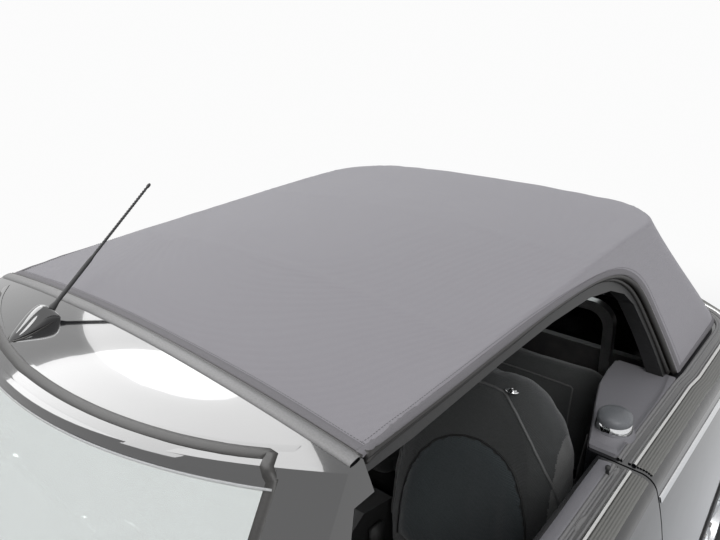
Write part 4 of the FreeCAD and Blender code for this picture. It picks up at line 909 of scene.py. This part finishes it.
# Wipers: black painted arms on capped pivots in the scuttle, each with a rubber blade laid
# on the glass.
for label, low_x, high_x, pivot in (("left", -0.04, 0.54, (0.5, -0.7, 0.95)),
                                    ("right", -0.56, -0.08, (0.02, -0.775, 0.96))):
    eyes = [(low_x + (high_x - low_x) * k / 30, -1.4, 1.006 + 0.012 * (1 - k / 30)) for k in range(31)]
    hits = [SCREEN_SKIN.ray_cast(Vector(eye), AFT)[:2] for eye in eyes]
    blade = [place + normal * 0.006 for place, normal in hits if place]
    bead(f"wiper_blade_{label}", blade, 0.004, black_rubber)
    bead(f"wiper_spine_{label}", [p + Vector((0, -0.004, 0.004)) for p in blade], 0.003, grained)
    foot = SCREEN_SKIN.find_nearest(Vector(pivot))[0]
    middle = blade[len(blade) // 3] + Vector((0, -0.006, 0.006))
    arm = [foot + Vector((0, -0.004, 0.012)), foot.lerp(middle, 0.5) + Vector((0, -0.008, 0.012)), middle]
    bead(f"wiper_arm_{label}", spread(arm, 24), 0.0052, grained)
    turned(f"wiper_pivot_{label}", [(0.015, -0.002), (0.015, 0.012), (0.012, 0.018), (0.0004, 0.019)], foot,
           Vector((0, -0.3, 1)), grained, sides=28)

# Aerial: gloss moulded fin on the header with a thin sprung rod, wound with wire and
# screwed into the fin's blunt rear end.
FIN_X = -0.196
FIN_ROWS = [
    # y, half width, height over the header
    (-0.264, 0.002, 0.001), (-0.256, 0.011, 0.008), (-0.242, 0.0175, 0.016), (-0.226, 0.0215, 0.0255),
    (-0.21, 0.0235, 0.034), (-0.196, 0.024, 0.039), (-0.186, 0.0232, 0.0385), (-0.174, 0.0215, 0.029),
    (-0.164, 0.019, 0.01), (-0.162, 0.018, 0.002),
]
verts = []
for y, half, height in FIN_ROWS:
    for k in range(15):
        angle = math.pi * k / 14
        x = FIN_X + math.copysign(abs(math.cos(angle)) ** 0.8, math.cos(angle)) * half
        base = cast(SCREEN_SKIN, (x, y, 1.7), DOWN)
        verts.append(Vector((x, y, (base.z if base else 1.352) - 0.001 + height * math.sin(angle) ** 0.9)))
fin = piece("aerial_fin", verts, grid(len(FIN_ROWS), 15), gloss)
subdivide(fin, 2)
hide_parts("antenna")
foot_line = circle(Vector((FIN_X, -0.212, 1.7)), EAST * 0.0255, AFT * 0.052, 1.0, 60)
bead("aerial_gasket", [cast(SCREEN_SKIN, p, DOWN) for p in foot_line], 0.0022, black_rubber, True)
ROD_FOOT = Vector((FIN_X, -0.183, 1.3755))
ROD_TIP = Vector((FIN_X, 0.095, 1.588))
ROD_WAY = (ROD_TIP - ROD_FOOT).normalized()
side = ROD_WAY.cross(EAST).normalized()
turned("aerial_rod", [(0.0078, 0.0), (0.0076, 0.018), (0.0056, 0.03), (0.0046, 0.034), (0.0044, 0.14),
                      (0.003, 0.152), (0.0026, 0.3), (0.0024, 0.338), (0.0034, 0.34), (0.0036, 0.346),
                      (0.002, 0.3495), (0.0004, 0.3498)], ROD_FOOT, ROD_WAY, grained, sides=24)
wire = []
for k in range(420):
    share = k / 419
    angle = 2 * math.pi * 26 * share
    wire.append(ROD_FOOT + ROD_WAY * (0.155 + 0.18 * share) + EAST * (0.003 * math.cos(angle))
                + side * (0.003 * math.sin(angle)))
bead("aerial_wire", wire, 0.0006, grained, sides=4)

# Wing feet: a small enamelled plate behind each front arch closes the corner between the
# wing's lower edge, the sill and its cladding. It is clipped in from behind.
FOOT_Y, FOOT_Z, PLATE, SET_BACK, WING_END = (-0.832, -0.633), (0.262, 0.346), 0.0025, 0.003, -0.69
for label, sign in SIDES:
    tree = tree_of(f"wing_{label}", f"cladding_{label}", f"side_{label}")
    outer = []
    for j in range(9):
        for k in range(17):
            y = FOOT_Y[0] + (FOOT_Y[1] - FOOT_Y[0]) * k / 16
            low, high = [cast(tree, (sign, min(y, WING_END), z), -EAST * sign) for z in FOOT_Z]
            x = (low or high).lerp(high or low, j / 8).x
            outer.append(Vector((x - sign * SET_BACK, y, FOOT_Z[0] + (FOOT_Z[1] - FOOT_Z[0]) * j / 8)))
    count = len(outer)
    verts = outer + [p - EAST * (sign * PLATE) for p in outer]
    faces = grid(9, 17) + [(count + a, count + d, count + c, count + b) for a, b, c, d in grid(9, 17)]
    edge = list(range(17)) + list(range(33, count, 17)) + list(range(count - 2, count - 18, -1))
    edge += list(range(count - 34, 0, -17))
    faces += [(a, count + a, count + b, b) for a, b in zip(edge, edge[1:] + edge[:1])]
    piece(f"wing_foot_{label}", verts, faces, paint, smooth=False)

# Rear bench: two shaped foam seats and a sloping backrest, sewn in the seats' cloth and
# set on a moulded base.
BENCH_ROWS = [
    # y, width, depth, centre height
    (0.706, 0.4, 0.07, 0.52), (0.73, 0.47, 0.125, 0.5), (0.82, 0.5, 0.15, 0.485),
    (0.93, 0.5, 0.15, 0.475), (1.01, 0.47, 0.11, 0.48), (1.04, 0.4, 0.06, 0.482),
]
BENCH_LEVELS = [
    # height, width, depth, centre y, hollow of the front
    (0.56, 0.4, 0.06, 1.012, 0.0), (0.59, 0.47, 0.095, 1.022, 0.006), (0.69, 0.5, 0.105, 1.046, 0.014),
    (0.79, 0.5, 0.098, 1.068, 0.012), (0.86, 0.46, 0.08, 1.082, 0.004), (0.888, 0.38, 0.048, 1.086, 0.0),
]
for label, x in (("left", 0.285), ("right", -0.285)):
    squab = pillow(f"bench_cushion_{label}", [cushion_section(x, *row, 0.01) for row in BENCH_ROWS],
                   seat_cloth, voxel=0.012)
    if x > 0:
        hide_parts("rear_bench")
    back = pillow(f"bench_back_{label}", [back_section(x, *row) for row in BENCH_LEVELS], seat_cloth,
                  voxel=0.012)
    pad = [(x - 0.15, 0.74), (x + 0.15, 0.74), (x + 0.15, 0.96), (x - 0.15, 0.96)]
    inset_panel(f"bench_cushion_insert_{label}", pad, tree_of(squab), DOWN, 0.007, seat_insert, 28)
    pad = [(x - 0.15, 0.62), (x + 0.15, 0.62), (x + 0.14, 0.84), (x - 0.14, 0.84)]
    back_tree = tree_of(back)
    seam = [cast(back_tree, (a, 0.4, b), AFT) for a, b in pad + pad[:1]]
    bead(f"bench_back_seam_{label}", spread([p for p in seam if p], 90), 0.0028, piping_mat, tree=back_tree,
         lift=0.001)
bar("bench_base", (-0.548, 0.716, 0.372), (0.548, 1.05, 0.44), grained, 0.014)
bar("bench_tray", (-0.03, 0.72, 0.4), (0.03, 1.04, 0.5), grained, 0.012)

# Instruments: a large round dial in the middle of the dash and a small one on the column,
# each a printed plate with plain numbers and a needle, in a bright bezel.
dial_face = finish("dial_plate", [(0.55, 0.55, 0.52), (0.62, 0.62, 0.59)], 500.0, (0.6, 0.7), 0.0)
dial_ink = finish("dial_ink", [(0.015, 0.015, 0.015), (0.02, 0.02, 0.02)], 500.0, (0.6, 0.7), 0.0)
needle_mat = finish("needle_orange", [(0.65, 0.12, 0.01), (0.75, 0.16, 0.02)], 500.0, (0.4, 0.5), 0.0)


def dial(name, centre, facing, radius, numbers, first, last):
    """Gauge facing the seats: plate, bezel, ticks, plain numbers and a needle on the first one."""
    facing = facing.normalized()
    right = UP.cross(facing).normalized()
    up = facing.cross(right)
    turned(f"{name}_plate", [(radius * 0.93, 0.001), (radius * 0.93, 0.003), (0.0004, 0.003)], centre,
           facing, dial_face)
    turned(f"{name}_bezel", [(radius * 0.92, 0.001), (radius * 0.92, 0.008), (radius * 0.96, 0.013),
                             (radius, 0.009), (radius * 1.02, 0.001)], centre, facing, bright, sides=72)

    def ways(share):
        """Radius along and across the hand at a share of its sweep."""
        angle = math.radians(first + (last - first) * share)
        along = right * math.sin(angle) + up * math.cos(angle)
        return along * radius, along.cross(facing) * radius

    marks, ink, verts = (len(numbers) - 1) * 4, centre + facing * 0.0034, []
    for k in range(marks + 1):
        along, across = ways(k / marks)
        inner, half = (0.78, 0.01) if k % 4 == 0 else (0.84, 0.005)
        corners = ((inner, -half), (inner, half), (0.9, half), (0.9, -half))
        verts += [ink + along * r + across * side for r, side in corners]
    piece(f"{name}_ticks", verts, [tuple(range(k, k + 4)) for k in range(0, len(verts), 4)], dial_ink,
          smooth=False)
    for k, number in enumerate(numbers):
        curve = bpy.data.curves.new("letters", "FONT")
        curve.body, curve.size, curve.align_x, curve.align_y = str(number), radius * 0.17, "CENTER", "CENTER"
        curve.extrude, curve.resolution_u = 0.0002, 3
        text = bpy.data.objects.new("letters", curve)
        bpy.context.collection.objects.link(text)
        bpy.context.view_layer.update()
        mesh = bpy.data.meshes.new_from_object(text.evaluated_get(bpy.context.evaluated_depsgraph_get()))
        mesh.transform(Matrix.Translation(ink + ways(k / (len(numbers) - 1))[0] * 0.63)
                       @ Matrix((right, up, facing)).transposed().to_4x4())
        bpy.data.objects.remove(text)
        piece(f"{name}_number_{number}", [v.co for v in mesh.vertices],
              [tuple(p.vertices) for p in mesh.polygons], dial_ink, smooth=False)
    along, across = ways(0)
    tip = centre + facing * 0.0065
    corners = ((-0.12, -0.03), (-0.12, 0.03), (0.8, 0.008), (0.8, -0.008))
    piece(f"{name}_needle", [tip + along * a + across * b for a, b in corners], [(0, 1, 2, 3)], needle_mat,
          smooth=False)
    turned(f"{name}_hub", [(0.09 * radius, 0.004), (0.08 * radius, 0.009), (0.0004, 0.01)], centre, facing,
           grained)


dial("speed_dial", Vector((0, -0.1885, 0.852)), AFT, 0.092, range(0, 240, 20), -140, 140)
COLUMN_DIAL, COLUMN_FACING = Vector((0.37, -0.236, 0.905)), Vector((0, 0.97, 0.24))
dial("engine_dial", COLUMN_DIAL, COLUMN_FACING, 0.046, range(9), -130, 130)
turned("engine_dial_pod", [(0.0475, -0.05), (0.05, -0.046), (0.05, -0.002), (0.048, 0.002), (0.046, -0.002)],
       COLUMN_DIAL, COLUMN_FACING, grained)

# Dash fittings: round air vents with vanes, a row of toggle switches and a plain radio with
# keys and knobs, clipped into the moulded dash.
for k, x in enumerate((-0.545, -0.18, 0.18, 0.545)):
    at = (x, -0.212, 0.842)
    way = Vector((0, 1, 0.05))
    turned(f"vent_ring_{k}", [(0.04, -0.004), (0.0405, 0.008), (0.037, 0.012), (0.033, 0.008),
                              (0.0325, -0.004)], at, way, bright)
    turned(f"vent_back_{k}", [(0.0325, 0.0), (0.0325, 0.001), (0.0004, 0.001)], at, way, black_rubber)
    for m in range(5):
        z = 0.82 + 0.011 * m
        half = math.sqrt(max(0.0, 0.032 ** 2 - (z - 0.842) ** 2))
        bar(f"vent_vane_{k}_{m}", (x - half, -0.21, z - 0.0011), (x + half, -0.2035, z + 0.0011), grained,
            0.0006)
bar("radio_front", (-0.086, -0.247, 0.69), (0.086, -0.232, 0.742), gloss, 0.004)
for k in range(6):
    x = -0.06 + 0.024 * k
    bar(f"radio_key_{k}", (x - 0.009, -0.234, 0.697), (x + 0.009, -0.229, 0.706), grained, 0.001)
    bar(f"toggle_{k}", (x - 0.005, -0.252, 0.664), (x + 0.005, -0.226, 0.671), bright, 0.002)
for label, x in (("left", -0.055), ("right", 0.055)):
    turned(f"radio_knob_{label}", [(0.013, -0.002), (0.013, 0.01), (0.0115, 0.012), (0.0004, 0.012)],
           (x, -0.233, 0.725), AFT, bright, sides=32)

# Steering wheel: a leather wrapped rim with a stitched seam inside and a padded middle
# with a bright ring. It turns with the column.
leather = finish("rim_leather", [(0.016, 0.016, 0.016), (0.028, 0.028, 0.028)], 700.0, (0.5, 0.62), 0.4)
dress(leather, "steering_wheel")
HUB_AT, HUB_WAY = Vector((0.37, -0.13, 0.79)), Vector((0, 0.92914, 0.36966))
ring_points = circle(HUB_AT, EAST, HUB_WAY.cross(EAST).normalized(), 0.1635, 150)
verts, faces = [], []
for here, there in zip(ring_points[::2], ring_points[1::2]):
    here, there, base = here - HUB_WAY * 0.003, there + HUB_WAY * 0.003, len(verts)
    wide = (there - here).cross(HUB_WAY).normalized() * 0.0007
    inward = wide.cross(there - here).normalized() * 0.0007
    verts += [end + edge for end in (here, there) for edge in (wide, inward, -wide, -inward)]
    faces += [tuple(base + m for m in face) for face in grid(2, 4, ring=True) + [(3, 2, 1, 0), (4, 5, 6, 7)]]
piece("rim_stitches", verts, faces, piping_mat, "steering_wheel")
turned("wheel_pad", [(0.063, 0.0), (0.064, 0.006), (0.061, 0.013), (0.048, 0.018), (0.025, 0.0205),
                     (0.0004, 0.021)], HUB_AT + HUB_WAY * 0.004, HUB_WAY, grained, "steering_wheel", 64)
turned("wheel_pad_ring", [(0.02, 0.0235), (0.0205, 0.025), (0.0225, 0.0252), (0.023, 0.0232)], HUB_AT,
       HUB_WAY, bright, "steering_wheel", 48)

# Floor furniture: ribbed rubber mats laid on the floor, three pedals on arms, the lever's
# gaiter and ball, and the hand brake's grip.
floor_tree = tree_of("floor_pan")
for label, x in (("left", 0.36), ("right", -0.36)):
    verts = []
    for j in range(31):
        for i in range(25):
            across, along = x - 0.19 + 0.38 * i / 24, -0.42 + 0.43 * j / 30
            hit = cast(floor_tree, (across, along, 0.6), DOWN)
            height = 0.0075 if i % 3 == 1 and 2 < j < 28 else 0.005
            verts.append(Vector((across, along, (hit.z if hit else 0.22) + height)))
    piece(f"floor_mat_{label}", verts, grid(31, 25), black_rubber, smooth=False)
for k, (x, low, tall) in enumerate(((0.27, 0.33, 0.06), (0.37, 0.33, 0.06), (0.462, 0.3, 0.11))):
    bar(f"pedal_{k}", (x - 0.028, -0.452, low), (x + 0.028, -0.438, low + tall), black_rubber, 0.005)
    bead(f"pedal_arm_{k}", [Vector((x, -0.456, low + 0.035)), Vector((x, -0.48, low + 0.16)),
                            Vector((x, -0.5, 0.64))], 0.0065, under)
turned("lever_gaiter", [(0.052, 0.47), (0.05, 0.48), (0.042, 0.486), (0.044, 0.493), (0.034, 0.5),
                        (0.036, 0.507), (0.026, 0.515), (0.027, 0.522), (0.017, 0.531), (0.011, 0.54)],
       (0, 0.024, 0), UP, leather)
turned("lever_ball", [(0.008, 0.566), (0.016, 0.57), (0.0245, 0.583), (0.0268, 0.597), (0.024, 0.611),
                      (0.015, 0.621), (0.0004, 0.6235)], (0, 0.0005, 0), UP, alloy)
turned("lever_ring", [(0.013, 0.56), (0.0135, 0.566), (0.01, 0.57)], (0, 0.003, 0), UP, bright)
BRAKE_FOOT, BRAKE_WAY = Vector((0.055, 0.12, 0.47)), Vector((0, 0.85, 0.45)).normalized()
turned("brake_grip", [(0.0142, 0.08), (0.0165, 0.084), (0.017, 0.13), (0.0165, 0.18), (0.015, 0.204),
                      (0.01, 0.211)], BRAKE_FOOT, BRAKE_WAY, leather, sides=32)
turned("brake_button", [(0.007, 0.208), (0.007, 0.219), (0.005, 0.222), (0.0004, 0.222)], BRAKE_FOOT,
       BRAKE_WAY, bright, sides=24)

# Belts: woven straps from the capped mountings down to the seat's side, with tongues and
# buckles.
webbing = weave(finish("belt_webbing", [(0.02, 0.02, 0.02), (0.032, 0.032, 0.032)], 500.0, (0.6, 0.75), 0.0),
                0.0022, 0.5)
STRAP = [(-0.023, 0), (-0.022, -0.0007), (0.022, -0.0007), (0.023, 0), (0.022, 0.0007), (-0.022, 0.0007)]
for label, sign in SIDES:
    path = ((0.622, 0.655, 0.975), (0.6215, 0.62, 0.9), (0.621, 0.57, 0.7), (0.6205, 0.52, 0.5),
            (0.62, 0.5, 0.33))
    line = spread([Vector((sign * x, y, z)) for x, y, z in path], 40)
    verts = []
    for before, p, after in zip(line[:1] + line, line, line[1:] + line[-1:]):
        side = (after - before).normalized().cross(EAST * sign).normalized()
        verts += [p + side * s + EAST * (sign * out) for s, out in STRAP]
    piece(f"belt_strap_{label}", verts, grid(40, 6, ring=True), webbing)
    for name, x, low, high, mat, radius in (
            ("tongue", 0.6205, (0.004, 0.545, 0.56), (0.004, 0.59, 0.64), bright, 0.002),
            ("buckle", 0.112, (0.011, 0.43, 0.42), (0.011, 0.49, 0.54), grained, 0.006)):
        bar(f"belt_{name}_{label}", (sign * x - low[0], *low[1:]), (sign * x + high[0], *high[1:]), mat,
            radius)

# Inside mirror: black moulded housing with a plain glass, on a short stalk under the
# header.
bar("inside_mirror", (-0.11, -0.262, 1.258), (0.11, -0.24, 1.318), grained, 0.01)
bar("inside_mirror_glass", (-0.103, -0.2405, 1.265), (0.103, -0.2385, 1.311), mirror_glass, 0.0008)
bead("inside_mirror_stalk", [Vector((0, -0.252, 1.312)), Vector((0, -0.262, 1.33)),
                             Vector((0, -0.282, 1.345))], 0.006, grained)

# Tyres: black rubber with four grooves round the tread, cross cuts between them and plain
# ribbed side walls, seated on the rims. Each turns with its wheel.
WHEEL_CENTRES = {"front_left": (0.73, -1.131), "front_right": (-0.73, -1.131), "rear_left": (0.73, 1.336),
                 "rear_right": (-0.73, 1.336)}
AXLE_Z = 0.3105
TYRE_LINE = [
    # radius, distance outward from the wheel's middle, across one side wall and the tread
    (0.2036, -0.0655), (0.2176, -0.0735), (0.2178, -0.083), (0.2225, -0.085), (0.226, -0.0836),
    (0.23, -0.088), (0.245, -0.094), (0.262, -0.0972), (0.264, -0.0962), (0.266, -0.0972), (0.28, -0.0956),
    (0.292, -0.0915), (0.299, -0.086), (0.3045, -0.079), (0.3068, -0.075),
]
TREAD = [(-0.07, 0), (-0.056, 0), (-0.0545, 1), (-0.0475, 1), (-0.046, 0), (-0.025, 0), (-0.0235, 1),
         (-0.0165, 1), (-0.015, 0), (0.015, 0), (0.0165, 1), (0.0235, 1), (0.025, 0), (0.046, 0), (0.0475, 1),
         (0.0545, 1), (0.056, 0), (0.07, 0)]
TURNS = 216
for place, (cx, cy) in WHEEL_CENTRES.items():
    sign = 1 if cx > 0 else -1
    line = [(r, out, 0) for r, out in TYRE_LINE]
    line += [(0.31035 - 0.0035 * (abs(out) / 0.075) ** 3, out, groove) for out, groove in TREAD]
    line += [(r, -out, 0) for r, out in TYRE_LINE[::-1]]
    verts = []
    for k in range(TURNS):
        angle = 2 * math.pi * k / TURNS
        for m, (r, out, groove) in enumerate(line):
            r -= 0.0065 * groove
            if len(TYRE_LINE) <= m < len(TYRE_LINE) + len(TREAD) and not groove:
                edge = abs(out) > 0.045
                phase = (k + (2 if out > 0 else 0)) % 4 if edge else (k + 1) % 6
                if phase == 0 and abs(out) > 0.02:
                    r -= 0.0055
            verts.append(Vector((cx + sign * out, cy + r * math.cos(angle), AXLE_Z + r * math.sin(angle))))
    faces = [face[::sign] for face in grid(TURNS, len(line), True, True)]
    made = piece(f"tread_{place}", verts, faces, rubber, f"wheel_{place}", smooth=False)
    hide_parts(f"tyre_{place}")

# Wheels' fittings: turned steel brake disc behind the spokes, four bolts in the hub, a
# plain domed cap and a rubber valve.
disc_steel = finish("brake_disc", [(0.34, 0.33, 0.32), (0.46, 0.45, 0.44)], 120.0, (0.25, 0.4), 0.1,
                    Metallic=1.0)
for place, (cx, cy) in WHEEL_CENTRES.items():
    sign = 1 if cx > 0 else -1
    out = EAST * sign
    hub = Vector((cx, cy, AXLE_Z))
    body = f"wheel_{place}"
    turned(f"disc_{place}", [(0.064, 0.0232), (0.065, 0.0246), (0.09, 0.0246), (0.0905, 0.0242),
                             (0.091, 0.0246), (0.13, 0.0246), (0.1318, 0.0232)], hub, out, disc_steel, body,
                             96)
    turned(f"cap_{place}", [(0.0275, 0.0696), (0.028, 0.0716), (0.0262, 0.0732), (0.024, 0.0734),
                            (0.0235, 0.0728), (0.02, 0.0738), (0.01, 0.0746), (0.0005, 0.0748)], hub, out,
                            alloy, body)
    for k in range(4):
        angle = math.pi / 4 + math.pi * k / 2
        at = hub + Vector((0, 0.045 * math.cos(angle), 0.045 * math.sin(angle)))
        turned(f"bolt_{place}_{k}", [(0.0098, 0.0695), (0.0098, 0.0712), (0.0092, 0.0718), (0.0086, 0.0718),
                                     (0.0084, 0.077), (0.0076, 0.0778), (0.0005, 0.0778)], at, out, steel,
                                     body, 6)
    valve = hub + Vector((0, 0.0, -0.192))
    turned(f"valve_{place}", [(0.0055, 0.056), (0.0052, 0.066), (0.004, 0.068), (0.004, 0.078),
                              (0.003, 0.079), (0.0004, 0.079)], valve, out, black_rubber, body, 16)

# Studio: a pale floor, a pale world and soft lamps, with the camera at the photograph's
# angle, above the front left corner and looking back over the closed top.
floor_mesh = bpy.data.meshes.new("studio_floor")
floor_mesh.from_pydata([(-40, -40, 0), (40, -40, 0), (40, 40, 0), (-40, 40, 0)], [], [(0, 1, 2, 3)])
floor = bpy.data.objects.new("studio_floor", floor_mesh)
bpy.context.collection.objects.link(floor)
floor_mat = finish("studio_floor", [(0.8, 0.8, 0.79), (0.82, 0.82, 0.81)], 2.0, (0.8, 0.9))
floor_mesh.materials.append(floor_mat)


def seen_directly(net):
    """One for camera, glossy and transmission rays, zero for the rest."""
    rays = add_node(net, "LightPath").outputs
    bent = add_node(net, "Math", {0: rays["Is Glossy Ray"], 1: rays["Is Transmission Ray"]},
                    operation="MAXIMUM")
    return add_node(net, "Math", {0: rays["Is Camera Ray"], 1: bent.outputs[0]},
                    operation="MAXIMUM").outputs[0]


net = floor_mat.node_tree
reach = add_node(net, "VectorMath", {0: add_node(net, "NewGeometry").outputs["Position"]}, operation="LENGTH")
fade = add_node(net, "MapRange", {"From Min": 1.6, "From Max": 4.6, "Value": reach.outputs["Value"]},
                interpolation_type="SMOOTHSTEP")
share = add_node(net, "Math", {0: fade.outputs["Result"], 1: seen_directly(net)}, operation="MULTIPLY")
white = add_node(net, "Emission", {"Color": (0.97, 0.97, 0.97, 1.0)})
blend = add_node(net, "MixShader", {"Fac": share.outputs[0], 1: net.nodes["Principled BSDF"].outputs[0],
                                    2: white.outputs[0]})
net.links.new(blend.outputs[0], net.nodes["Material Output"].inputs["Surface"])

world = bpy.data.worlds.new("studio")
bpy.context.scene.world = world
world.use_nodes = True
net = world.node_tree
sky = net.nodes["Background"]
sky.inputs["Color"].default_value = (0.9, 0.93, 1.0, 1.0)
sky.inputs["Strength"].default_value = 0.66
seen = add_node(net, "Background", {"Color": (0.97, 0.97, 0.97, 1.0), "Strength": 1.0})
pick = add_node(net, "MixShader", {"Fac": seen_directly(net), 1: sky.outputs[0], 2: seen.outputs[0]})
net.links.new(pick.outputs[0], net.nodes["World Output"].inputs["Surface"])

LAMPS = [("key", (4.5, -4.0, 6.0), 4.0, 215.0), ("fill", (-5.0, 3.0, 5.0), 4.0, 90.0),
         ("reflector", (-3.1, -0.7, 6.2), 6.6, 400.0)]
for name, place, size, power in LAMPS:
    lamp = bpy.data.lights.new(name, "AREA")
    lamp.shape = "DISK"
    lamp.size = size
    lamp.energy = power
    holder = bpy.data.objects.new(name, lamp)
    holder.location = place
    holder.rotation_euler = (Vector((0, 0, 0.8)) - Vector(place)).to_track_quat("-Z", "Y").to_euler()
    if name == "reflector":
        holder.visible_diffuse = False
        holder.visible_transmission = False
    bpy.context.collection.objects.link(holder)

CAMERA_AT = Vector((1.079, -0.655, 1.936))
AZIMUTH, ELEVATION, ROLL = math.radians(48.3), math.radians(22.1), math.radians(-2.2)
ahead = Vector((-math.cos(ELEVATION) * math.cos(AZIMUTH), math.cos(ELEVATION) * math.sin(AZIMUTH),
                -math.sin(ELEVATION)))
across = ahead.cross(UP).normalized()
upward = across.cross(ahead)
right = across * math.cos(ROLL) + upward * math.sin(ROLL)
top = upward * math.cos(ROLL) - across * math.sin(ROLL)
view = bpy.data.cameras.new("camera")
view.lens = 32.7
view.sensor_width = 36.0
camera = bpy.data.objects.new("camera", view)
camera.matrix_world = Matrix.Translation(CAMERA_AT) @ Matrix((right, top, -ahead)).transposed().to_4x4()
bpy.context.collection.objects.link(camera)
bpy.context.scene.camera = camera
bpy.context.scene.view_settings.view_transform = "Standard"
